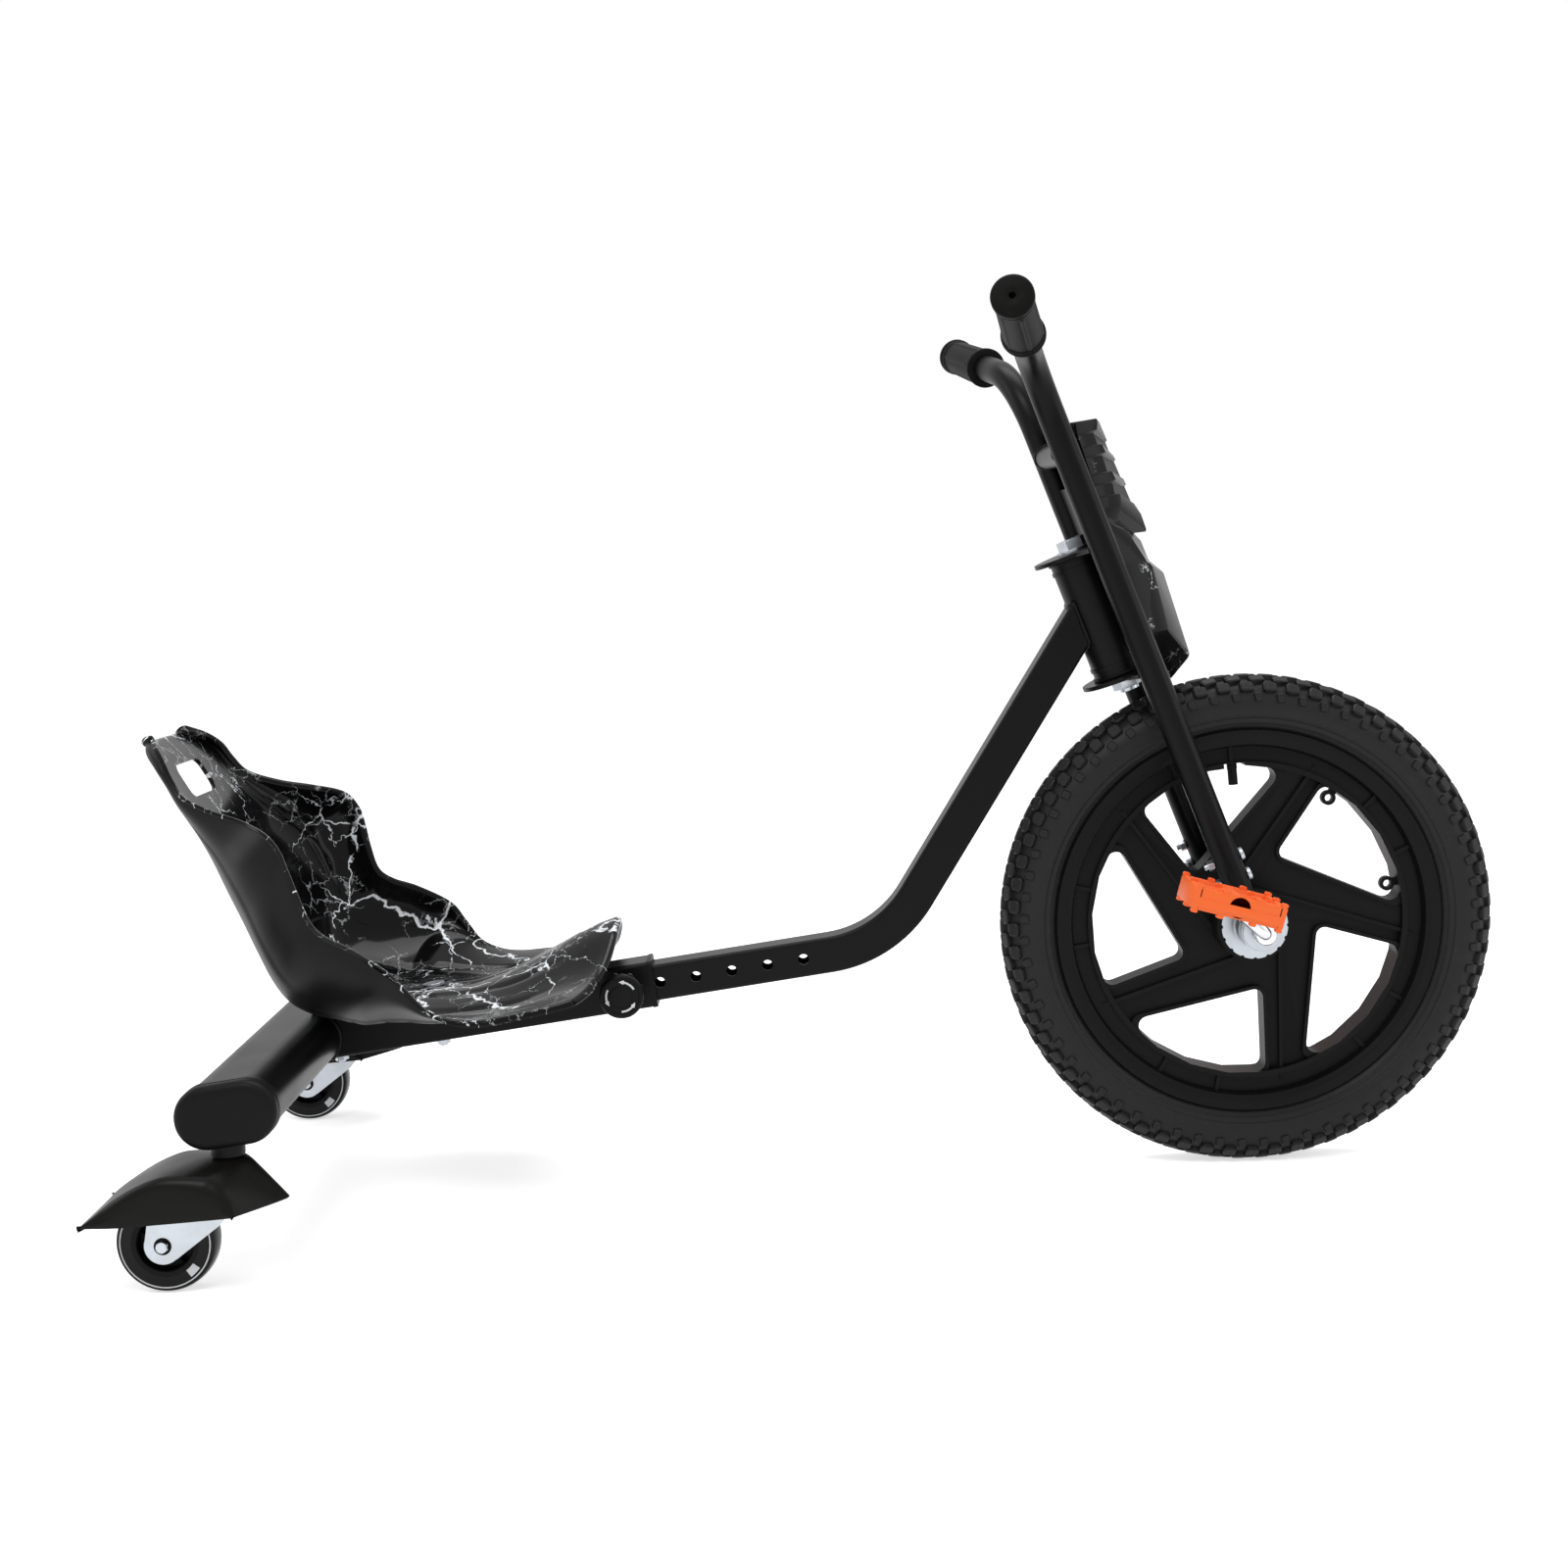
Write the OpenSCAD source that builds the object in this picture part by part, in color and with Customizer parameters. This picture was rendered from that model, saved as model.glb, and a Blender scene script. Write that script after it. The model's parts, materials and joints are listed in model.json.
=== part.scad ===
// Drift trike: one big pedalled wheel in front, a bucket seat and two casters
// behind. Millimetres. X points forward, Y to the rider's left, Z up. The origin
// is on the ground, under the middle of the trike.

/* [Front wheel] */
// Outer radius of the front tyre
wheel_r = 203; // [195:1:210]
// Width of the front tyre
tyre_w = 50; // [44:1:54]
// Radius of the rim's edge
rim_r = 159; // [156:1:161]
// Outer radius of the windows in the wheel
window_r = 128.5; // [122:0.5:130]
// Number of spokes
spokes = 5; // [5:1:5]
// Radius of the wheel's hub
hub_r = 30; // [28:1:34]

/* [Cranks and pedals] */
// Length of a crank arm
crank_len = 60; // [54:1:66]
// Angle of the right crank from straight ahead, in degrees
crank_angle = 137; // [0:1:360]
// Fore and aft length of a pedal
pedal_l = 70; // [60:1:76]
// Width of a pedal across the trike
pedal_w = 60; // [54:1:64]
// Thickness of a pedal
pedal_t = 18; // [14:1:22]
// Tilt of the pedals at rest, nose down, in degrees
pedal_tilt = 16; // [-30:1:30]

/* [Fork and handlebar] */
// Distance from the trike's middle to the front axle
axle_x = 345.4; // [340:0.1:350]
// Rake of the steering axis from vertical, in degrees
rake = 20.4; // [18:0.1:23]
// Half the distance between the two handlebar legs
leg_y = 60; // [58:0.5:66]
// Radius of a handlebar leg
leg_r = 11; // [10:0.5:12]
// Rise of the handlebar's corner over the head tube's middle
leg_rise = 213.5; // [200:0.5:230]
// Length of the handle from the corner to its end
handle_len = 183; // [175:1:200]
// Length of a grip
grip_l = 98; // [90:1:105]
// Radius of a grip
grip_r = 14.5; // [14:0.5:16]

/* [Frame] */
// Side of the square main tube
main_w = 30; // [28:1:32]
// Side of the square rear tube
sleeve_w = 38; // [38:1:40]
// Slope of the sliding tubes, in degrees
slope = 7.2; // [6:0.1:8]
// Distance between two adjuster holes
hole_pitch = 30; // [30:1:30]
// Radius of an adjuster hole
hole_r = 4.4; // [4.2:0.1:4.8]
// Radius of the main tube's bend
bend_r = 100; // [90:1:110]

/* [Rear axle and casters] */
// Distance from the front axle back to the caster swivels
wheelbase = 790; // [784:1:794]
// Half the distance between the caster swivels
swivel_y = 240; // [230:1:250]
// Width of the flat oval axle beam
beam_w = 71; // [66:1:74]
// Height of the flat oval axle beam
beam_h = 43; // [40:1:46]
// Radius of a caster wheel
caster_r = 37; // [35:0.5:38]
// Distance of the caster's axle behind its swivel
trail = 47; // [45:1:48]
// Width of a fender
fender_w = 84; // [80:1:88]

/* [Seat] */
// Thickness of the seat's shell
seat_t = 3.5; // [3:0.5:4]

/* [Hidden] */

$fn = 64;
fit = 0.05;
gap = 0.3;

black = [0.07, 0.07, 0.075];
soft_black = [0.11, 0.11, 0.11];
gloss_black = [0.03, 0.03, 0.035];
zinc = [0.74, 0.76, 0.78];
orange = [0.93, 0.27, 0.07];

function unit(v) = v / norm(v);
function polar(r, a) = [r * cos(a), r * sin(a)];

// Points of an arc that rounds the corner q between p and s with radius r
function corner(p, q, s, r, n = 6) =
    r == 0 ? [q] :
    let (u = unit(p - q), w = unit(s - q), half = acos(u * w) / 2,
        c = q + unit(u + w) * r / sin(half), a = q + u * r / tan(half) - c,
        b = q + w * r / tan(half) - c, a0 = atan2(a[1], a[0]), a1 = atan2(b[1], b[0]),
        turn = a1 - a0 > 180 ? a1 - a0 - 360 : (a1 - a0 < -180 ? a1 - a0 + 360 : a1 - a0))
    [for (k = [0 : n]) c + polar(r, a0 + turn * k / n)];

// An outline with each corner rounded by its own radius
function rounded(pts, radii, n = 6) =
    let (m = len(pts))
    [for (i = [0 : m - 1]) each corner(pts[(i + m - 1) % m], pts[i], pts[(i + 1) % m], radii[i], n)];

function box_outline(w, h) = [[-w / 2, -h / 2], [w / 2, -h / 2], [w / 2, h / 2], [-w / 2, h / 2]];

module square_tube(w, t, r, len) {
    linear_extrude(len)
        difference() {
            polygon(rounded(box_outline(w, w), [r, r, r, r]));
            square(w - 2 * t, center = true);
        }
}

// Puts local x along x, local z along z, at the point o
module place(o, x, z) {
    y = cross(z, x);
    multmatrix([[x[0], y[0], z[0], o[0]], [x[1], y[1], z[1], o[1]], [x[2], y[2], z[2], o[2]]])
        children();
}

// A tube of the 2-D section given as its child, from p0 to p2 with a bend of radius r at p1
module bent(p0, p1, p2, r) {
    u = unit(p0 - p1);
    w = unit(p2 - p1);
    turn = 180 - acos(u * w);
    t = r * tan(turn / 2);
    c = p1 + unit(u + w) * r / cos(turn / 2);
    out = unit(p1 + u * t - c);
    len0 = norm(p0 - p1) - t;
    len1 = norm(p2 - p1) - t;
    place(c, out, cross(out, -u)) {
        translate([r, 0, 0]) rotate([90, 0, 0]) linear_extrude(len0) children();
        rotate_extrude(angle = turn, $fn = 128) translate([r, 0]) children();
        rotate(turn) translate([r, len1, 0]) rotate([90, 0, 0]) linear_extrude(len1) children();
    }
}

module rod(p, q, r) {
    d = unit(q - p);
    side = abs(d[2]) > 0.9 ? unit(cross(d, [0, 1, 0])) : unit(cross(d, [0, 0, 1]));
    place(p, side, d) cylinder(r = r, h = norm(q - p));
}

module ring(r, bore, h) {
    difference() {
        cylinder(r = r, h = h);
        translate([0, 0, -1]) cylinder(r = bore, h = h + 2);
    }
}

module hex(across, h) cylinder(d = across / cos(30), h = h, $fn = 6);

// Both sides of the trike: side is 1 on the left and -1 on the right
module on_side(side) {
    if (side > 0) children();
    else mirror([0, 1, 0]) children();
}

// Steering frame: origin on the steering axis in the head tube, x forward, z up the axis
head_o = [axle_x - 111.6, 0, wheel_r + 247];
axle_f = 18.5;
axle_s = -270.4;
leg_f = 14;
module steered() translate(head_o) rotate([0, -rake, 0]) children();

// Rail frame: origin at the lock pin's hole, x forward along the sliding tubes
rail_o = [axle_x - 516, 0, 165.1];
swivel_x = wheelbase - axle_x;
module on_rail() translate(rail_o) rotate([0, -slope, 0]) children();
function rail_to_row(s) = rail_o + [s * cos(slope), 0, s * sin(slope)];

// Rear frame
sleeve_t = 1.5;
sleeve_front = 21.5;
beam_s = -273;
beam_end = 256;
cap_end = 259;
cap_over = 18;
seat_bolt_s = [-157.5, -243.8];
bolt_r = 3;

module beam_section(grow) {
    h = beam_h + 2 * grow;
    flat = beam_w - beam_h;
    square([flat, h], center = true);
    for (x = [-flat / 2, flat / 2]) translate([x, 0]) circle(d = h);
}

module along_beam(y0, y1) {
    on_rail() translate([beam_s, y1, 0]) rotate([90, 0, 0]) linear_extrude(y1 - y0) children();
}

module on_post(side) translate([-swivel_x, side * swivel_y, 0]) children();

post_r = 12.3;
post_low = 99.5;
post_top = 146;

rib_y = 12;
rib_t = 4;
module rear_tube() {
    color(black) difference() {
        union() {
            on_rail() translate([beam_s, 0, 0]) rotate([0, 90, 0])
                square_tube(sleeve_w, sleeve_t, 3, sleeve_front - beam_s);
            // Rib under the joint with the beam, left of the bolts
            on_rail() translate([0, rib_y, 0]) rotate([90, 0, 0])
                linear_extrude(rib_t) polygon([[-185, -sleeve_w / 2 + 1], [-262, -sleeve_w / 2 - 7],
                    [-262, -sleeve_w / 2 + 1]]);
        }
        along_beam(-40, 40) beam_section(0.02);
        on_rail() for (s = seat_bolt_s) translate([s, 0, -60]) cylinder(r = bolt_r + 0.2, h = 120);
        on_rail() rotate([90, 0, 0]) cylinder(r = 8, h = 60);
    }
}

collar_liner = 38;
module tube_collar() {
    wall_in = main_w / 2 + gap;
    color(soft_black) on_rail() translate([sleeve_front, 0, 0]) rotate([0, 90, 0])
        difference() {
            union() {
                translate([0, 0, 0.03]) linear_extrude(4)
                    polygon(rounded(box_outline(sleeve_w + 1, sleeve_w + 1), [3, 3, 3, 3]));
                translate([0, 0, -collar_liner]) linear_extrude(collar_liner + 1)
                    square(sleeve_w - 2 * sleeve_t - 0.1, center = true);
            }
            translate([-wall_in, -wall_in, -60]) cube([2 * wall_in, 2 * wall_in, 100]);
            translate([0, 0, -sleeve_front]) rotate([90, 0, 0]) cylinder(r = 8, h = 40);
        }
}

module axle_beam() {
    color(black) difference() {
        along_beam(-beam_end, beam_end) difference() {
            beam_section(0);
            beam_section(-2);
        }
        for (side = [-1, 1]) on_post(side) translate([0, 0, 90]) cylinder(r = post_r + fit, h = 45);
        on_rail() translate([seat_bolt_s[1], 0, -40]) cylinder(r = bolt_r + 0.2, h = 80);
    }
}

module beam_cap(side) {
    color(soft_black) on_side(side) difference() {
        hull() {
            along_beam(cap_end - cap_over, cap_end - 3) beam_section(2, $fn = 40);
            along_beam(cap_end - 1, cap_end) beam_section(-1, $fn = 40);
        }
        along_beam(cap_end - cap_over - 5, beam_end + gap) beam_section(0.1);
        on_post(1) translate([0, 0, 80]) cylinder(r = post_r + 0.4, h = 60);
    }
}
module beam_cap_left() beam_cap(1);
module beam_cap_right() beam_cap(-1);

bush_bore = 5 + fit;
module post(side) {
    color(black) on_post(side) translate([0, 0, post_low]) ring(post_r, 9, post_top - post_low);
}
module post_left() post(1);
module post_right() post(-1);

bush_top = 140;
module post_bush(side) {
    color(soft_black) on_post(side) difference() {
        union() {
            translate([0, 0, post_low - 0.9]) cylinder(r = post_r - 0.5, h = 0.85);
            translate([0, 0, post_low - 0.2]) cylinder(r = 8.95, h = bush_top - post_low);
        }
        translate([0, 0, post_low - 5]) cylinder(r = bush_bore, h = 60);
    }
}
module post_bush_left() post_bush(1);
module post_bush_right() post_bush(-1);

// Lock: a spring plunger in a bush on the right side of the rear tube
pin_r = 4;
bush_r = 9;
bush_out = 11;
bush_low = sleeve_w / 2;
module lock_bush() {
    color(zinc) on_rail() rotate([90, 0, 0]) difference() {
        union() {
            translate([0, 0, main_w / 2 + 0.6]) cylinder(r = 7.9, h = 6);
            translate([0, 0, bush_low + 0.05]) cylinder(r = bush_r, h = bush_out);
        }
        cylinder(r = pin_r + fit, h = 60);
    }
}

knob_r = 18;
pin_travel = 9;
knob_low = bush_low + bush_out + pin_travel + 0.3;
knob_h = 12;
module lock_pin() {
    color(zinc) on_rail() rotate([90, 0, 0])
        translate([0, 0, main_w / 2 + 0.9]) cylinder(r = pin_r, h = knob_low - main_w / 2 + 6);
}

module lock_knob() {
    lobes = 8;
    color(soft_black) on_rail() rotate([90, 0, 0]) difference() {
        union() {
            translate([0, 0, knob_low + 4]) cylinder(r = knob_r, h = knob_h - 4);
            for (k = [0 : lobes - 1]) rotate(k * 360 / lobes)
                translate([knob_r - 1.5, 0, knob_low]) cylinder(r = 2.6, h = 7);
            translate([0, 0, knob_low]) cylinder(r = knob_r - 2.5, h = 6);
        }
        translate([0, 0, knob_low - 5]) cylinder(r = pin_r + fit, h = 5.2 + 6.9);
        // Shallow dish in the knob's face
        translate([0, 0, knob_low + knob_h - 0.8]) ring(14.5, 9.5, 2);
    }
}

// Seat stations from the front lip to the top of the back. Each holds the middle's x and z, the
// edge's x, y and z, the height of the pommel and the depth of the hollows beside the middle,
// with x from a point seat_o in front of the trike's middle.
seat_stations = [
    [-172, 181, -207, 124, 177, 41, 0],
    [-200, 180, -230, 136, 176, 38, 2],
    [-232, 177, -254, 142, 173, 24, 6],
    [-262, 175, -272, 146, 169, 9, 10],
    [-292, 173, -292, 147, 166, 1, 13],
    [-322, 171, -312, 149, 172, 0, 14],
    [-347, 170, -326, 155, 196, 0, 13],
    [-368, 169.5, -338, 159, 212, 0, 12],
    [-388, 169.5, -364, 151, 228, 0, 10],
    [-409, 170.5, -384, 144, 237, 0, 7],
    [-427, 176, -398, 140, 249, 0, 4],
    [-438, 189, -407, 145, 271, 0, 2],
    [-448, 211, -412, 151, 292, 0, 0],
    [-459, 237, -415, 151, 304, 0, 0],
    [-471, 264, -424, 147, 315, 0, 0],
    [-483, 289, -446, 128, 323, 0, 0],
    [-493, 311, -471, 114, 330, 0, 0],
    [-502, 330, -496, 101, 341, 0, 0],
    [-516, 354, -513, 95, 362, 0, 0],
    [-533, 384, -530, 88, 384, 0, 0],
    [-545, 390, -542, 74, 392, 0, 0]];
seat_o = [rail_o[0] + 168, 0, 0];
seat_square = 2.7;
seat_rows = 40;
seat_half = 14;
pommel_w = 38;
hollow_y = 82;
hollow_w = 40;

// Smooth curve through the stations: t counts stations
function station(i) = seat_stations[max(0, min(len(seat_stations) - 1, i))];
function along_stations(t) =
    let (i = floor(t), f = t - i, a = station(i - 1), b = station(i), c = station(i + 1), d = station(i + 2))
    0.5 * (2 * b + (c - a) * f + (2 * a - 5 * b + 4 * c - d) * f * f + (3 * b - a - 3 * c + d) * f * f * f);

// Inner surface: a squared ellipse from the middle out to the edge, with the pommel raised along
// the middle and a hollow each side of it. u runs from -1 on the right to 1 on the left.
function seat_point(t, u) =
    let (m = along_stations(t), a = 90 * abs(u), across = pow(sin(a), 2 / seat_square),
        rise = 1 - pow(cos(a), 2 / seat_square), y = m[3] * across,
        swell = m[5] * exp(-pow(y / pommel_w, 2)) - m[6] * exp(-pow((y - hollow_y) / hollow_w, 2)))
    [m[0] + (m[2] - m[0]) * rise, sign(u) * y, m[1] + (m[4] - m[1]) * rise + swell];

module seat_solid() {
    last = len(seat_stations) - 1;
    nj = 2 * seat_half;
    inner = [for (i = [0 : seat_rows]) [for (j = [0 : nj]) seat_point(last * i / seat_rows, j / seat_half - 1)]];
    outer = [for (i = [0 : seat_rows]) [for (j = [0 : nj])
        let (a = inner[max(i - 1, 0)][j], b = inner[min(i + 1, seat_rows)][j],
            c = inner[i][max(j - 1, 0)], d = inner[i][min(j + 1, nj)])
        inner[i][j] + seat_t * unit(cross(b - a, d - c))]];
    m = nj + 1;
    base = (seat_rows + 1) * m;
    pts = concat([for (r = inner) each r], [for (r = outer) each r]);
    edge = concat([for (j = [0 : nj - 1]) [j, j + 1]],
        [for (i = [0 : seat_rows - 1]) [i * m + nj, (i + 1) * m + nj]],
        [for (j = [0 : nj - 1]) [seat_rows * m + nj - j, seat_rows * m + nj - j - 1]],
        [for (i = [0 : seat_rows - 1]) [(seat_rows - i) * m, (seat_rows - i - 1) * m]]);
    tris = concat(
        [for (i = [0 : seat_rows - 1], j = [0 : nj - 1]) let (p = i * m + j) each [[p, p + 1, p + m], [p + 1, p + m + 1, p + m]]],
        [for (i = [0 : seat_rows - 1], j = [0 : nj - 1]) let (p = base + i * m + j) each [[p, p + m, p + 1], [p + 1, p + m, p + m + 1]]],
        [for (e = edge) each [[e[0], e[0] + base, e[1]], [e[1], e[0] + base, e[1] + base]]]);
    polyhedron(pts, tris);
}

seat_over = [25, 31.4];
bolt_head_r = 9;
slot_w = 72;
slot_h = 30;
slot_at = [-514, 351];
module seat_shell() {
    color(gloss_black) difference() {
        translate(seat_o) seat_solid();
        // Hand slot through the back
        translate(seat_o + [slot_at[0], 0, slot_at[1]]) rotate([0, 63, 0]) translate([0, 0, -30])
            linear_extrude(60) polygon(rounded(box_outline(slot_h, slot_w), [9, 9, 9, 9]));
        on_rail() for (s = seat_bolt_s) translate([s, 0, -10]) cylinder(r = bolt_r + 0.3, h = 60);
        // Flat seats under the bolt heads
        on_rail() for (k = [0, 1]) translate([seat_bolt_s[k], 0, seat_over[k] - 0.02])
            cylinder(r = bolt_head_r + 0.2, h = 12);
    }
}

spacer_low = sleeve_w / 2;
module seat_spacer() {
    color(soft_black) on_rail() difference() {
        translate([seat_bolt_s[1] - 14, -15, spacer_low + 0.02]) cube([30, 30, 8.3]);
        translate([seat_bolt_s[1], 0, 0]) cylinder(r = bolt_r + 0.2, h = 60);
        translate([beam_s, 20, 0]) rotate([90, 0, 0]) linear_extrude(40) beam_section(0.03);
    }
}

module seat_bolts() {
    on_rail() for (k = [0, 1]) translate([seat_bolt_s[k], 0, 0]) {
        color(soft_black) translate([0, 0, seat_over[k]]) cylinder(r = bolt_head_r, h = 2.5);
        color(zinc) translate([0, 0, -sleeve_w / 2 - 7]) cylinder(r = bolt_r, h = seat_over[k] + sleeve_w / 2 + 8);
        color(zinc) translate([0, 0, -sleeve_w / 2 - 5.6]) hex(10, 5);
    }
}

// Front frame: the main tube slides in the rear tube and carries the head tube
main_end = -24;
bend_at = rail_o + [218, 0, 27.5];
holes_free = 5;
main_top = [head_o[0] - 8.2, 0, head_o[2] + 22];
module main_section(inset) polygon(rounded(box_outline(main_w - 2 * inset, main_w - 2 * inset), [3, 3, 3, 3]));
module main_path(inset, p0) bent(p0, bend_at, main_top, bend_r) main_section(inset);

head_low = -38.8;
head_high = 59;
head_r = 23.5;
module main_tube() {
    color(black) difference() {
        main_path(0, rail_to_row(main_end));
        main_path(1.8, rail_to_row(main_end - 5));
        on_rail() for (k = [0 : holes_free]) translate([k * hole_pitch, 30, 0]) rotate([90, 0, 0])
            cylinder(r = hole_r, h = 60);
        steered() translate([0, 0, head_low - 60]) cylinder(r = head_r + 0.02, h = 200);
    }
}

module tube_plug() {
    w = sleeve_w - 2 * sleeve_t - 2 * gap;
    bore = main_w - 3.6;
    color(soft_black) on_rail() translate([main_end, 0, 0]) rotate([0, 90, 0]) {
        translate([0, 0, -6]) linear_extrude(5.95) square(w, center = true);
        translate([0, 0, -1]) linear_extrude(11) difference() {
            main_section(1.8 + gap);
            square(bore - 5, center = true);
        }
    }
}

module head_tube() {
    color(black) steered() {
        translate([0, 0, head_low]) ring(head_r, 21, head_high - head_low);
        for (s = [head_low + 5, head_high - 8]) translate([0, 0, s]) ring(head_r + 1, head_r - 0.5, 3);
    }
}

steer_r = 8;
flange_h = 2.6;
module head_bushes() {
    color(soft_black) steered() for (end = [[head_low, -1], [head_high, 1]]) translate([0, 0, end[0]])
        mirror([0, 0, end[1] > 0 ? 0 : 1]) difference() {
            union() {
                translate([0, 0, 0.02]) cylinder(r = 25, h = flange_h);
                translate([0, 0, -14]) cylinder(r = 20.95, h = 15);
            }
            translate([0, 0, -20]) cylinder(r = steer_r + fit, h = 40);
        }
}

// Fork and handlebar, all turning on the steering axis
handle_dir = unit([-0.108, 0.962, 0.248]);
leg_low = axle_s + 26;
leg_bend_r = 60;
function leg_corner() = [leg_f, leg_y, leg_rise];
module leg_path(r, extra) {
    p1 = leg_corner();
    bent([leg_f, leg_y, leg_low - extra], p1, p1 + handle_dir * (handle_len - 3 + extra), leg_bend_r) circle(r = r);
}
bracket_bolt_s = [axle_s + 47, axle_s + 64];
module leg(side) {
    color(black) steered() on_side(side) difference() {
        leg_path(leg_r, 0);
        leg_path(leg_r - 1.6, 2);
        for (s = bracket_bolt_s) translate([leg_f - 20, leg_y, s]) rotate([0, 90, 0]) cylinder(r = 2.7, h = 40);
    }
}
module leg_left() leg(1);
module leg_right() leg(-1);

module grip(side) {
    p1 = leg_corner();
    inner = p1 + handle_dir * (handle_len - grip_l);
    color(soft_black) steered() on_side(side) place(inner, unit(cross([0, 0, 1], handle_dir)), handle_dir)
        difference() {
            union() {
                cylinder(r = grip_r, h = grip_l);
                cylinder(r = grip_r + 2, h = 4);
                translate([0, 0, grip_l - 7]) cylinder(r = grip_r + 1.5, h = 5);
            }
            translate([0, 0, -5]) cylinder(r = leg_r + 0.02, h = grip_l + 2.1);
            translate([0, 0, grip_l - 10]) cylinder(r = 2, h = 20);
        }
}
module grip_left() grip(1);
module grip_right() grip(-1);

module both_legs(r) for (side = [-1, 1])
    translate([leg_f, side * leg_y, leg_low - 20]) cylinder(r = r, h = 440);

cross_s = 143;
module cross_tube() {
    color(black) steered() difference() {
        translate([leg_f, -leg_y, cross_s]) rotate([-90, 0, 0]) ring(10, 8.5, 2 * leg_y);
        both_legs(leg_r + 0.02);
    }
}

plate_r = 35.5;
module crown_plate(low, h, hole) {
    front = leg_f + leg_r - 1;
    wide = leg_y;
    translate([0, 0, low]) difference() {
        linear_extrude(h) {
            circle(r = plate_r);
            polygon([[-6, -plate_r + 1], [leg_f - 12, -wide], [front, -wide], [front, wide],
                [leg_f - 12, wide], [-6, plate_r - 1]]);
        }
        translate([0, 0, -low]) both_legs(leg_r + 0.02);
        translate([0, 0, -1]) cylinder(r = hole, h = h + 2);
    }
}
top_s = 62;
plate_t = 3.5;
low_s = -45.2;
module top_plate() color(black) steered() crown_plate(top_s, plate_t, steer_r + 0.02);
module bottom_plate() color(black) steered() crown_plate(low_s, plate_t, steer_r + 0.02);

module steering_pin() {
    color(zinc) steered() {
        translate([0, 0, low_s - 12]) cylinder(r = steer_r, h = top_s + plate_t - low_s + 13);
        translate([0, 0, top_s + plate_t + 2.1]) hex(22, 8);
        translate([0, 0, top_s + plate_t + 0.02]) cylinder(r = 15, h = 2.1);
    }
}

module steering_nut() {
    color(zinc) steered() translate([0, 0, low_s - 9]) difference() {
        union() {
            hex(22, 7);
            translate([0, 0, 6.5]) cylinder(r = 14, h = 2.4);
        }
        translate([0, 0, -1]) cylinder(r = steer_r + 0.02, h = 20);
    }
}

// Shell in front of the legs, in two tiers cut from flat facets
bracket_low = 68;
bracket_high = 114;
module panel_bracket() {
    color(black) steered() difference() {
        union() {
            translate([leg_f - 1.5, -leg_y, bracket_low]) cube([3, 2 * leg_y, bracket_high - bracket_low]);
            // Tabs that carry the panel
            for (s = [74, 100]) translate([leg_f, -34, s]) cube([14, 68, 3]);
        }
        both_legs(leg_r + 0.02);
        translate([0, 0, bracket_low - 1]) cylinder(r = 13.2, h = 10);
        for (y = [-24, 24], s = [70, 98]) translate([leg_f + 8, y, s]) cylinder(r = 2.2, h = 10);
    }
}

panel_back = leg_f + leg_r + 0.5;
upper_side = [[panel_back, 64], [44, 50], [61, 60], [59, 84], [55, 155], [49, 163], [panel_back, 162]];
upper_plan = [[panel_back, -66], [43, -62], [62, -22], [62, 22], [43, 62], [panel_back, 66]];
upper_front = [[-48, 44], [-66, 70], [-66, 140], [-52, 163], [52, 163], [66, 140], [66, 70], [48, 44]];
lower_side = [[panel_back, -50], [39, -61], [59, -44], [65, 21], [58, 30], [56, 66], [panel_back, 66]];
lower_plan = [[panel_back, -58], [46, -50], [66, -16], [66, 16], [46, 50], [panel_back, 58]];
lower_front = [[-36, -62], [-58, -30], [-58, 66], [58, 66], [58, -30], [36, -62]];

// The part common to a side view, a plan and a front view
module tier(side_view, plan, front_view, inset) {
    k = (65 - inset) / 65;
    intersection() {
        translate([0, 100, 0]) rotate([90, 0, 0]) linear_extrude(200) polygon([for (p = side_view) p - [inset, 0]]);
        translate([0, 0, -100]) linear_extrude(300) polygon([for (p = plan) [p[0] - inset, p[1] * k]]);
        rotate([90, 0, 90]) linear_extrude(200) polygon([for (p = front_view) [p[0] * k, p[1]]]);
    }
}

module panel_solid(inset) {
    tier(upper_side, upper_plan, upper_front, inset);
    tier(lower_side, lower_plan, lower_front, inset);
}

chevrons = 4;
module front_panel() {
    color(gloss_black) steered() difference() {
        panel_solid(0);
        difference() {
            translate([-0.5, 0, 0]) panel_solid(2.6);
            for (s = [150, -52]) translate([panel_back - 5, -70, s]) cube([80, 140, 2.6]);
        }
        // Grooves that leave the chevron ribs
        for (k = [0 : chevrons - 1], side = [-1, 1])
            translate([60.5, 0, 78 + 20 * k]) rotate([side * 28, 0, 0])
                translate([-2.2, side > 0 ? 3 : -40, -5]) cube([6, 37, 10]);
    }
}

module panel_screws() {
    color(zinc) steered() for (y = [-24, 24], s = [74, 100]) translate([leg_f + 8, y, s]) {
        translate([0, 0, -2.5]) cylinder(r = 4, h = 2.4);
        translate([0, 0, -1]) cylinder(r = 2, h = 9);
    }
}

// Bearing brackets at the foot of the legs
eye_r = 16.5;
bearing_r = 14;
bracket_t = 12;
module axle_bracket(side) {
    color(zinc) steered() on_side(side) difference() {
        union() {
            translate([axle_f, leg_y + bracket_t / 2, axle_s]) rotate([90, 0, 0]) cylinder(r = eye_r, h = bracket_t);
            translate([leg_f, leg_y, axle_s + 12]) cylinder(r = leg_r - 2, h = 64);
        }
        translate([axle_f, leg_y + 20, axle_s]) rotate([90, 0, 0]) cylinder(r = bearing_r, h = 40);
        translate([axle_f, leg_y + 20, axle_s]) rotate([90, 0, 0])
            cylinder(r = bearing_r + 1.6, h = 20 - bracket_t / 2 - 0.02);
        for (s = bracket_bolt_s) translate([leg_f - 20, leg_y, s]) rotate([0, 90, 0]) cylinder(r = 2.6, h = 40);
    }
}
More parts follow.
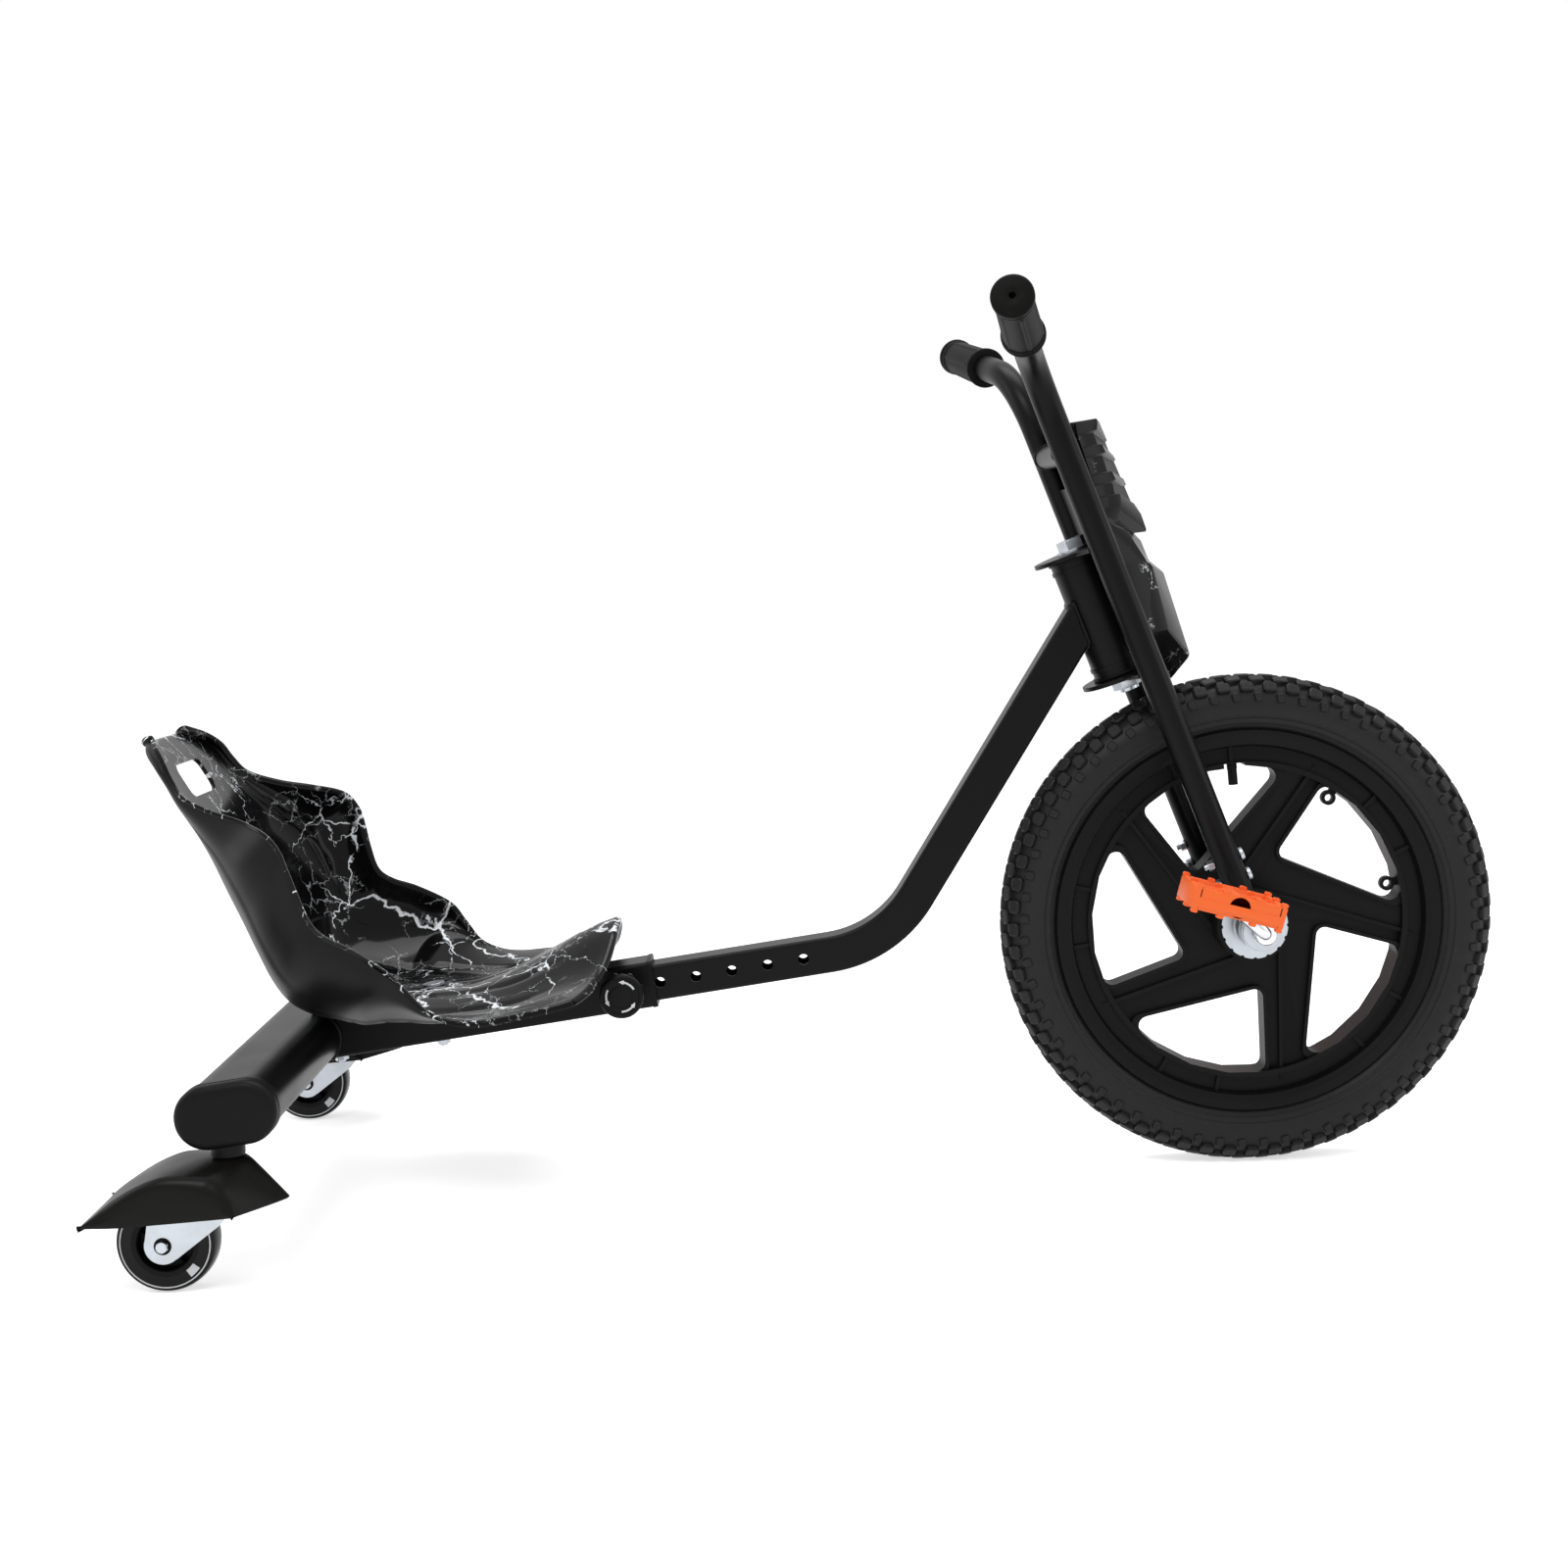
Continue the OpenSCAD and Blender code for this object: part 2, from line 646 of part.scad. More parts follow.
module axle_bracket_left() axle_bracket(1);
module axle_bracket_right() axle_bracket(-1);

module bracket_bolts() {
    color(zinc) steered() for (side = [-1, 1], s = bracket_bolt_s)
        translate([leg_f, side * leg_y, s]) rotate([0, 90, 0]) {
            translate([0, 0, -leg_r - 8]) cylinder(r = 2.5, h = 2 * leg_r + 9);
            translate([0, 0, leg_r + 0.02]) cylinder(r = 5, h = 3);
            translate([0, 0, -leg_r - 5.05]) hex(8, 5);
        }
}

shaft_r = 6;
module axle_bearings() {
    color(zinc) steered() for (side = [-1, 1]) on_side(side)
        translate([axle_f, leg_y + bracket_t / 2, axle_s]) rotate([90, 0, 0]) {
            ring(bearing_r - 0.02, shaft_r + fit, bracket_t);
            translate([0, 0, -2.2]) ring(bearing_r + 1.5, shaft_r + 1.5, 2.15);
        }
}

// Front wheel, turning on the axle
module at_axle() translate([axle_x, 0, wheel_r]) children();
module in_wheel() at_axle() rotate([90, 0, 0]) children();

// One window: a triangle with two straight sides and an outer arc, swept back like a pinwheel
window_tip = polar(58, 66);
window_dirs = [55.5, -23.6];
function window_outline(grow) =
    let (bisector = (window_dirs[0] + window_dirs[1]) / 2, half = (window_dirs[0] - window_dirs[1]) / 2,
        tip = window_tip - polar(grow / sin(half), bisector), r = window_r + grow,
        ends = [for (a = window_dirs) let (d = polar(1, a), b = tip * d)
            tip + d * (-b + sqrt(b * b - tip * tip + r * r))],
        a0 = atan2(ends[1][1], ends[1][0]), a1 = atan2(ends[0][1], ends[0][0]))
    rounded(concat([tip], [for (k = [0 : 4]) polar(r, a0 + (a1 - a0) * k / 4)]), [7 + grow, 8, 0, 0, 0, 8]);

module windows(grow) for (k = [0 : spokes - 1]) rotate(k * 360 / spokes) polygon(window_outline(grow));

rim_well = 147;
rim_half = 19;
web_half = 6;
wall_half = 11;
hub_half = 37;
module rim() {
    color(soft_black) in_wheel() difference() {
        union() {
            rotate_extrude($fn = 128)
                polygon([[window_r - 1, -14], [132, -14], [132, -9], [144, -9], [146, -17], [151, -rim_half],
                    [rim_r - 1, -rim_half], [rim_r, -17], [rim_r - 2, -15], [151, -13], [rim_well, -7],
                    [rim_well, 7], [151, 13], [rim_r - 2, 15], [rim_r, 17], [rim_r - 1, rim_half],
                    [151, rim_half], [146, 17], [144, 9], [132, 9], [132, 14], [window_r - 1, 14]]);
            translate([0, 0, -web_half]) linear_extrude(2 * web_half) circle(r = 133);
            // Raised borders round the windows
            translate([0, 0, -wall_half]) linear_extrude(2 * wall_half) intersection() {
                circle(r = 130);
                windows(3);
            }
            // Ribs along the spokes
            for (k = [0 : spokes - 1]) rotate(k * 360 / spokes + 54)
                translate([0, 25.5, -wall_half + 1]) cube([136, 3, 2 * wall_half - 2]);
            // Short ribs in the rim's channel
            for (k = [0 : spokes - 1], a = [23, 43]) rotate(k * 360 / spokes + a)
                translate([130, -1.5, -12]) cube([16, 3, 24]);
            translate([0, 0, -hub_half]) cylinder(r = hub_r, h = 2 * hub_half);
        }
        translate([0, 0, -60]) linear_extrude(120) windows(0);
        translate([0, 0, -60]) cylinder(r = shaft_r + 0.02, h = 120);
        // Valve hole and the notch in the border round it
        rotate(94) translate([120, 0, 0]) rotate([0, 90, 0]) cylinder(r = 4.2, h = 60);
        rotate(94) translate([122, -9, -30]) cube([9, 18, 60]);
    }
    // Two eyelets on one window's arc
    color(soft_black) in_wheel() for (a = [12, 54.5]) rotate(a) difference() {
        union() {
            translate([120.5, 0, -3]) cylinder(r = 6, h = 6);
            translate([120.5, -3, -3]) cube([8.5, 6, 6]);
        }
        translate([120.5, 0, -10]) cylinder(r = 3, h = 20);
    }
}

// Half of the tyre's section, from the bead to the crown, as radius and distance from the middle
function mirrored(pts) = [for (k = [len(pts) - 1 : -1 : 0]) [pts[k][0], -pts[k][1]]];
tyre_outside = [[151.4, -12.7], [rim_r - 1.7, -14.7], [rim_r + 0.4, -16.8], [rim_r + 4, -20.4],
    [rim_r + 11, -23.6], [177, -tyre_w / 2], [187, -23.6], [195, -19], [wheel_r - 2, -11], [wheel_r, -4]];
tyre_inside = [[150, -11], [rim_r + 1, -13], [168, -19.4], [177, -21], [186, -19.6], [194, -10]];
module tyre() {
    color(soft_black) in_wheel() rotate_extrude($fn = 160) difference() {
        polygon(concat(tyre_outside, mirrored(tyre_outside)));
        polygon(concat(tyre_inside, mirrored(tyre_inside)));
    }
}

module valve_stem() {
    color(soft_black) in_wheel() rotate(94) rotate([0, 90, 0]) {
        translate([0, 0, 112]) cylinder(r = 3.85, h = 14);
        translate([0, 0, 125]) cylinder(r = 4.15, h = 24);
    }
}

module hub_plates() {
    notches = 16;
    color(zinc) in_wheel() for (side = [0, 1]) mirror([0, 0, side])
        translate([0, 0, hub_half + 0.02]) difference() {
            union() {
                cylinder(r = 27, h = 3);
                cylinder(r = 17, h = 6);
            }
            translate([0, 0, -1]) cylinder(r = shaft_r + 0.02, h = 20);
            for (k = [0 : notches - 1]) rotate(k * 360 / notches) translate([27.6, 0, -1])
                cylinder(r = 1.7, h = 6);
        }
}

crank_y = 85;
arm_r = 5.5;
axle_end = 76;
module crank_axle() {
    color(zinc) at_axle() translate([0, axle_end, 0]) rotate([90, 0, 0])
        cylinder(r = shaft_r, h = 2 * axle_end);
}

pedal_gap = 45;
pedal_in = crank_y + pedal_gap;
spindle_r = 5;
function crank_tip(side) = [crank_len * cos(crank_angle), 0, crank_len * sin(crank_angle)] * -side;
module crank(side) {
    tip = crank_tip(side);
    color(zinc) at_axle() {
        translate([0, side * (axle_end + 0.02), 0]) rotate([-side * 90, 0, 0])
            cylinder(r = 9, h = crank_y - axle_end + 6);
        translate([0, side * crank_y, 0]) rod([0, 0, 0], tip, arm_r);
        translate(tip + [0, side * (crank_y - 5), 0]) rotate([-side * 90, 0, 0])
            cylinder(r = spindle_r, h = pedal_gap + pedal_w + 2);
        translate(tip + [0, side * (crank_y - 6), 0]) rotate([-side * 90, 0, 0])
            cylinder(r = 7, h = 12);
        // Collar that stops the pedal
        translate(tip + [0, side * (pedal_in - 5.3), 0]) rotate([-side * 90, 0, 0]) cylinder(r = 7, h = 5);
    }
}
module crank_left() crank(1);
module crank_right() crank(-1);

module pedal(side) {
    teeth = 4;
    frame_t = 6;
    color(orange) at_axle() translate(crank_tip(side) + [0, side * pedal_in, 0]) rotate([0, pedal_tilt, 0])
        on_side(side) difference() {
            union() {
                difference() {
                    translate([-pedal_l / 2, 0, -pedal_t / 2]) cube([pedal_l, pedal_w, pedal_t]);
                    // Open pockets each side of the spindle's barrel
                    for (x = [-1, 1]) translate([x * (pedal_l / 4 + 1) - 11, frame_t, -30])
                        cube([22, pedal_w - 2 * frame_t, 60]);
                }
                for (x = [0 : teeth - 1], z = [-1, 1], y = [0, pedal_w - 4])
                    translate([-pedal_l / 2 + 1 + x * (pedal_l - 7) / (teeth - 1), y, z * pedal_t / 2 - 1])
                        cube([5, 4, 2 + 1]);
            }
            translate([0, -1, 0]) rotate([-90, 0, 0]) cylinder(r = spindle_r + fit, h = pedal_w - 1.5);
        }
}
module pedal_left() pedal(1);
module pedal_right() pedal(-1);

// Casters and their fenders, turning on the posts
fender_top = 98.3;
fender_t = 2.6;
fender_side = [[-99.5, 58.5], [-77, 75], [-56, 87], [-34, 95], [-14, fender_top], [13, fender_top],
    [26, 85], [42, 66], [12, 62.5], [-45, 59.5]];
fender_plan = [[-100, -fender_w / 2], [11, -fender_w / 2], [42.5, 0], [11, fender_w / 2], [-100, fender_w / 2]];
module fender_body(inset) {
    scaled = (fender_w / 2 - inset) / (fender_w / 2);
    intersection() {
        translate([0, 60, -inset * 1.2]) rotate([90, 0, 0]) linear_extrude(120)
            polygon(inset == 0 ? fender_side : [for (p = fender_side) [p[0] * 0.97, p[1] < 70 ? p[1] - 9 : p[1]]]);
        linear_extrude(200) polygon([for (p = fender_plan) p * scaled]);
        // Rolled shoulders: the top narrows towards its edges
        translate([-120, 0, 0]) rotate([90, 0, 90]) linear_extrude(240)
            polygon([[-fender_w / 2 + inset, 20], [-fender_w / 2 + inset, 80 - inset], [-fender_w / 2 + 6 + inset, 91 - inset],
                [-20, 110], [20, 110], [fender_w / 2 - 6 - inset, 91 - inset], [fender_w / 2 - inset, 80 - inset],
                [fender_w / 2 - inset, 20]]);
    }
}

module fender(side) {
    color(black) on_post(side) difference() {
        fender_body(0);
        fender_body(fender_t);
        cylinder(r = 5.3, h = 200);
    }
}
module fender_left() fender(1);
module fender_right() fender(-1);

fork_top = 84;
fork_t = 2.5;
fork_in = 15;
boss_r = 13.5;
module caster_fork(side) {
    cheek = [[-trail - boss_r, caster_r], [-52, fork_top], [14, fork_top], [4, 62], [-5, 51],
        [-trail + 9.5, caster_r - 10]];
    color(zinc) on_post(side) difference() {
        union() {
            for (y = [-fork_in - fork_t, fork_in]) translate([0, y + fork_t, 0]) rotate([90, 0, 0])
                linear_extrude(fork_t) {
                    polygon(cheek);
                    translate([-trail, caster_r]) circle(r = boss_r);
                }
            translate([-34, -fork_in - fork_t, fork_top]) cube([48, 2 * (fork_in + fork_t), 3]);
            translate([0, 0, fork_top + 2]) cylinder(r = 9, h = fender_top - 1.2 * fender_t - fork_top - 2.2);
        }
        translate([0, 0, -1]) cylinder(r = 5.02, h = 200);
        translate([-trail, 40, caster_r]) rotate([90, 0, 0]) cylinder(r = 4.02, h = 80);
    }
}
module caster_fork_left() caster_fork(1);
module caster_fork_right() caster_fork(-1);

module swivel_bolt(side) {
    color(zinc) on_post(side) {
        translate([0, 0, fork_top - 1]) cylinder(r = 5, h = 62);
        translate([0, 0, fork_top - 6.1]) hex(15, 6);
        translate([0, 0, bush_top + 0.2]) ring(8, 4.9, 4);
    }
}
module swivel_bolt_left() swivel_bolt(1);
module swivel_bolt_right() swivel_bolt(-1);

module wheel_bolt(side) {
    out = fork_in + fork_t;
    color(zinc) on_post(side) on_side(side) translate([-trail, 0, caster_r]) rotate([-90, 0, 0]) {
        translate([0, 0, -out - 5]) cylinder(r = 4, h = 2 * out + 6);
        translate([0, 0, out + 0.02]) cylinder(r = 7, h = 3.5);
        translate([0, 0, -out - 4.05]) hex(13, 4);
    }
}
module wheel_bolt_left() wheel_bolt(1);
module wheel_bolt_right() wheel_bolt(-1);

core_r = 24;
caster_half = 12;
module caster_core(side) {
    spokes_in = 6;
    color(soft_black) on_post(side) translate([-trail, 0, caster_r]) rotate([90, 0, 0]) difference() {
        union() {
            translate([0, 0, -fork_in + gap]) cylinder(r = 8, h = 2 * (fork_in - gap));
            translate([0, 0, -caster_half]) ring(core_r, core_r - 3.5, 2 * caster_half);
            translate([0, 0, -3]) cylinder(r = core_r - 1, h = 6);
            for (k = [0 : spokes_in - 1]) rotate(k * 360 / spokes_in)
                translate([6, -1.25, -caster_half + 2]) cube([16, 2.5, 2 * caster_half - 4]);
        }
        translate([0, 0, -40]) cylinder(r = 4 + fit, h = 80);
    }
}
module caster_core_left() caster_core(1);
module caster_core_right() caster_core(-1);

module caster_tyre(side) {
    color(soft_black) on_post(side) translate([-trail, 0, caster_r]) rotate([90, 0, 0])
        rotate_extrude($fn = 96) polygon(rounded([[core_r + 0.02, -caster_half], [caster_r, -caster_half],
            [caster_r, caster_half], [core_r + 0.02, caster_half]], [0, 4.5, 4.5, 0]));
}
module caster_tyre_left() caster_tyre(1);
module caster_tyre_right() caster_tyre(-1);

rear_tube();
tube_collar();
axle_beam();
beam_cap_left();
beam_cap_right();
post_left();
post_right();
post_bush_left();
post_bush_right();
lock_bush();
seat_spacer();
seat_shell();
seat_bolts();
main_tube();
tube_plug();
head_tube();
head_bushes();
lock_pin();
lock_knob();
leg_left();
leg_right();
grip_left();
grip_right();
cross_tube();
top_plate();
bottom_plate();
steering_pin();
steering_nut();
panel_bracket();
front_panel();
panel_screws();
axle_bracket_left();
axle_bracket_right();
bracket_bolts();
axle_bearings();
rim();
tyre();
valve_stem();
hub_plates();
crank_axle();
crank_left();
crank_right();
pedal_left();
pedal_right();
fender_left();
fender_right();
caster_fork_left();
caster_fork_right();
swivel_bolt_left();
swivel_bolt_right();
wheel_bolt_left();
wheel_bolt_right();
caster_core_left();
caster_core_right();
caster_tyre_left();
caster_tyre_right();
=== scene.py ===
"""Drift trike, dressed for the photograph: finishes, tread, seat shell and trim round the CAD frame.

Lengths are in millimetres in the CAD frame and become metres, times MM, when a mesh is made. Lamps and
camera are placed in metres."""
import json
import math
from functools import cached_property
import bmesh
import bpy
import numpy as np
from bpy.props import FloatProperty, FloatVectorProperty, IntProperty, PointerProperty
from mathutils import Matrix, Vector


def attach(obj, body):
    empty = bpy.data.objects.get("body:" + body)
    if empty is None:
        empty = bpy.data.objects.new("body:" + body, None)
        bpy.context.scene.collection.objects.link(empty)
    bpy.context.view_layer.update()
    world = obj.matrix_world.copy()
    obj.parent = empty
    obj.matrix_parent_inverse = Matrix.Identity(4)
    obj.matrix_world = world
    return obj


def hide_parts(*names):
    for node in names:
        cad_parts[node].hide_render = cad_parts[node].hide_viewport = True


bl_info = {
    "name": "Drift trike",
    "version": (1, 0, 0),
    "blender": (4, 5, 0),
    "location": "View3D > Sidebar > Trike",
    "description": "Dresses a drift trike's frame with its seat, wheels, grips, panel and finishes",
    "category": "Object",
}

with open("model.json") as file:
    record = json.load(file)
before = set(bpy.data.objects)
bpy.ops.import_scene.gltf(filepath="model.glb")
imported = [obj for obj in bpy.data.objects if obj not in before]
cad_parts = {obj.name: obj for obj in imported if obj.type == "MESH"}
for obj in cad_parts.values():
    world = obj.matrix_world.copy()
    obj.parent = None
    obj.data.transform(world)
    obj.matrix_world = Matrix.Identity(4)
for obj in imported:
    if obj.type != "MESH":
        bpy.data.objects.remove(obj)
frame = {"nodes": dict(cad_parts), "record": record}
SLOTS = {s["node"]: s["material_slot"] for s in frame["record"]["subparts"]}
SIDES = ((1, "left"), (-1, "right"))
MM = 0.001
MERGE = 0.01 * MM
FLAT_ANGLE = math.radians(0.6)
EDGE_ANGLE = math.radians(30)
UP = np.array([0.0, 0.0, 1.0])
ACROSS = np.array([0.0, 1.0, 0.0])

# Places and radii shared with the frame in millimetres, and its two slopes
FRONT_AXLE = np.array([345.4, 0.0, 203.0])
HEAD = np.array([233.8, 0.0, 450.0])
RAKE = math.radians(20.4)
RAIL = np.array([-170.6, 0.0, 165.1])
SLOPE = math.radians(7.2)
SWIVEL_X = -444.6
SWIVEL_Y = 240.0
TRAIL = 47.0
CASTER_R = 37.0
FORK_OUT = 17.5
LEG_X = 14.0
LEG_Y = 60.0
LEG_R = 11.0
CROSS_Z = 143.0
CROSS_R = 10.0
HEAD_R = 23.5
POST_R = 12.3


def unit(v):
    """Vectors scaled to length 1, along the last axis."""
    v = np.asarray(v, float)
    return v / np.linalg.norm(v, axis=-1, keepdims=True)


def turned(points, axis, degrees):
    """Points turned about an axis through the origin, by Rodrigues' formula."""
    k = unit(axis)
    a = math.radians(degrees)
    p = np.asarray(points, float)
    along = (p @ k)[..., None] * k
    return p * math.cos(a) + np.cross(k, p) * math.sin(a) + along * (1 - math.cos(a))


def steered(points):
    """From the steering frame (x forward, z up the steering axis) to the trike's frame."""
    return turned(points, ACROSS, -math.degrees(RAKE)) + HEAD


def railed(points):
    """From the rail frame (x forward along the sliding tubes) to the trike's frame."""
    return turned(points, ACROSS, -math.degrees(SLOPE)) + RAIL


def wheeled(points):
    """From the wheel's frame (x and y in the wheel's plane, z to the right) to the trike's frame."""
    p = np.asarray(points, float)
    return np.stack([p[..., 0], -p[..., 2], p[..., 1]], -1) + FRONT_AXLE


def casted(points, side):
    """From a caster's frame (x forward from the swivel, z up from the floor) to the trike's frame."""
    return np.asarray(points, float) + np.array([SWIVEL_X, side * SWIVEL_Y, 0.0])


class Shape:
    """Points and faces of a piece, added part by part."""

    def __init__(self):
        self.points = []
        self.faces = []
        self.count = 0

    def add(self, points, faces):
        points = np.asarray(points, float).reshape(-1, 3)
        self.points.append(points)
        self.faces += (np.asarray(faces) + self.count).tolist()
        self.count += len(points)
        return self

    def grid(self, points, close_rows=False, close_cols=False):
        """Quads over a grid of points, wrapped where a direction closes on itself."""
        rows, cols = points.shape[:2]
        i = np.arange(rows if close_rows else rows - 1)
        j = np.arange(cols if close_cols else cols - 1)
        i, j = np.meshgrid(i, j, indexing="ij")
        k, m = (i + 1) % rows, (j + 1) % cols
        quads = np.stack([i * cols + j, k * cols + j, k * cols + m, i * cols + m], -1)
        return self.add(points, quads.reshape(-1, 4))

    def fan(self, ring):
        """A cap: triangles from the ring's middle to each of its edges."""
        n = len(ring)
        k = np.arange(n)
        faces = np.stack([k, (k + 1) % n, np.full(n, n)], -1)
        return self.add(np.vstack([ring, ring.mean(0)]), faces)

    def solid(self, points):
        """A closed solid from rings of points: a grid wrapped round, with a cap at each end."""
        self.grid(points, close_cols=True)
        self.fan(points[0])
        return self.fan(points[-1])


def ring_points(n, phase=0.0):
    """n points of the unit circle, as cosines and sines."""
    a = np.linspace(0, 2 * math.pi, n, endpoint=False) + phase
    return np.cos(a), np.sin(a)


def lathe(profile, sides, origin=(0, 0, 0), axis=(0, 0, 1)):
    """A profile of (radius, height) turned about the axis: rows run along the profile."""
    z = unit(axis)
    x = unit(np.cross((0.0, 1.0, 0.0) if abs(z[1]) < 0.9 else (1.0, 0.0, 0.0), z))
    y = np.cross(z, x)
    c, s = ring_points(sides)
    p = np.asarray(profile, float)
    round_ = c[:, None] * x + s[:, None] * y
    return p[:, 0, None, None] * round_[None] + p[:, 1, None, None] * z + np.asarray(origin, float)


def sweep(path, radius, sides, up=(0, 0, 1), close=False):
    """Rings of the given radius (one number or one each) carried along a path, square to it."""
    path = np.asarray(path, float)
    if close:
        tangent = np.roll(path, -1, 0) - np.roll(path, 1, 0)
    else:
        tangent = np.gradient(path, axis=0)
    tangent = unit(tangent)
    side = unit(np.cross(tangent, up))
    lift = np.cross(side, tangent)
    c, s = ring_points(sides)
    r = np.broadcast_to(np.asarray(radius, float), (len(path),))[:, None, None]
    return path[:, None] + r * (c[None, :, None] * side[:, None] + s[None, :, None] * lift[:, None])


def rounded_box(half_x, half_y, r, n=6):
    """Outline of a rectangle with round corners: a quarter arc at each corner, in turn."""
    a = np.linspace(0, math.pi / 2, n)
    corners = []
    for k, (sx, sy) in enumerate(((1, 1), (-1, 1), (-1, -1), (1, -1))):
        t = a + k * math.pi / 2
        corners.append(np.stack([sx * (half_x - r) + r * np.cos(t), sy * (half_y - r) + r * np.sin(t)], -1))
    return np.vstack(corners)


def smooth_curve(points, n, close=False):
    """n points of a Catmull-Rom curve through the given points."""
    p = np.asarray(points, float)
    m = len(p)
    t = np.linspace(0, m if close else m - 1, n, endpoint=not close)
    i = np.minimum(np.floor(t).astype(int), m - 1 if close else m - 2)
    f = (t - i)[:, None]
    pick = (lambda k: p[k % m]) if close else (lambda k: p[np.clip(k, 0, m - 1)])
    a, b, c, d = pick(i - 1), pick(i), pick(i + 1), pick(i + 2)
    return 0.5 * (2 * b + (c - a) * f + (2 * a - 5 * b + 4 * c - d) * f ** 2
                  + (3 * b - a - 3 * c + d) * f ** 3)


def placed(name, data):
    """A new object with this data, in the scene."""
    obj = bpy.data.objects.new(name, data)
    bpy.context.scene.collection.objects.link(obj)
    return obj


def mesh_object(name, shape):
    """A new object with the shape as its mesh, in metres."""
    mesh = bpy.data.meshes.new(name)
    mesh.from_pydata((np.vstack(shape.points) * MM).tolist(), [], shape.faces)
    return placed(name, mesh)


def clean(mesh, closed=False, flat=0.0):
    """Joins points that coincide, turns a closed piece's faces outward and joins faces that meet within the
    flat angle."""
    work = bmesh.new()
    work.from_mesh(mesh)
    bmesh.ops.remove_doubles(work, verts=work.verts, dist=MERGE)
    if closed:
        bmesh.ops.recalc_face_normals(work, faces=work.faces)
    if flat:
        bmesh.ops.dissolve_limit(work, angle_limit=flat, verts=work.verts, edges=work.edges)
    work.to_mesh(mesh)
    work.free()


def piece(name, shape, body, finish, replaced=(), slot="", closed=True, **edges):
    """Makes the mesh object, finishes it and says what it rides on and stands for. The slot argument is not
    used."""
    obj = mesh_object(name, shape)
    clean(obj.data, closed)
    finish_piece(obj, body, finish, slot or finish, replaced, **edges)
    return obj


def finish_piece(obj, body, finish, slot, replaced, bevel=0.0, wall=0.0, smooth=40.0):
    """Adds the wall and the rounded edges, the material and the ride."""
    if wall:
        thick = obj.modifiers.new("wall", "SOLIDIFY")
        thick.thickness = wall * MM
        thick.offset = -1.0
    if bevel:
        edge = obj.modifiers.new("edges", "BEVEL")
        edge.width = bevel * MM
        edge.segments = 2
        edge.limit_method = "ANGLE"
        edge.angle_limit = EDGE_ANGLE
    obj.data.materials.clear()
    obj.data.materials.append(MATERIALS[finish])
    obj.data.shade_smooth()
    obj.data.set_sharp_from_angle(angle=math.radians(smooth))
    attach(obj, body)
    if replaced:
        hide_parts(*replaced)


def softened(node, bevel):
    """A copy of a CAD node with its flat faces joined and its edges rounded, in the node's place."""
    name = node + "_edged"
    mesh = frame["nodes"][node].data.copy()
    mesh.name = name
    clean(mesh, flat=FLAT_ANGLE)
    body = next(b for b, members in frame["record"]["behaviour"]["bodies"].items() if node in members)
    finish_piece(placed(name, mesh), body, SLOTS[node], SLOTS[node], (node,), bevel=bevel, smooth=30.0)


class Val:
    """A node's output, which varies over the surface; arithmetic on it adds Math nodes."""

    def __init__(self, paint, socket):
        self.paint = paint
        self.socket = socket

    def math(self, operation, *others):
        return self.paint.value("ShaderNodeMath", dict(enumerate((self,) + others)), operation=operation)

    def __add__(self, other):
        return self.math("ADD", other)

    def __sub__(self, other):
        return self.math("SUBTRACT", other)

    def __rsub__(self, other):
        return (self * -1.0).math("ADD", other)

    def __mul__(self, other):
        return self.math("MULTIPLY", other)

    def __truediv__(self, other):
        return self.math("DIVIDE", other)

    __radd__ = __add__
    __rmul__ = __mul__


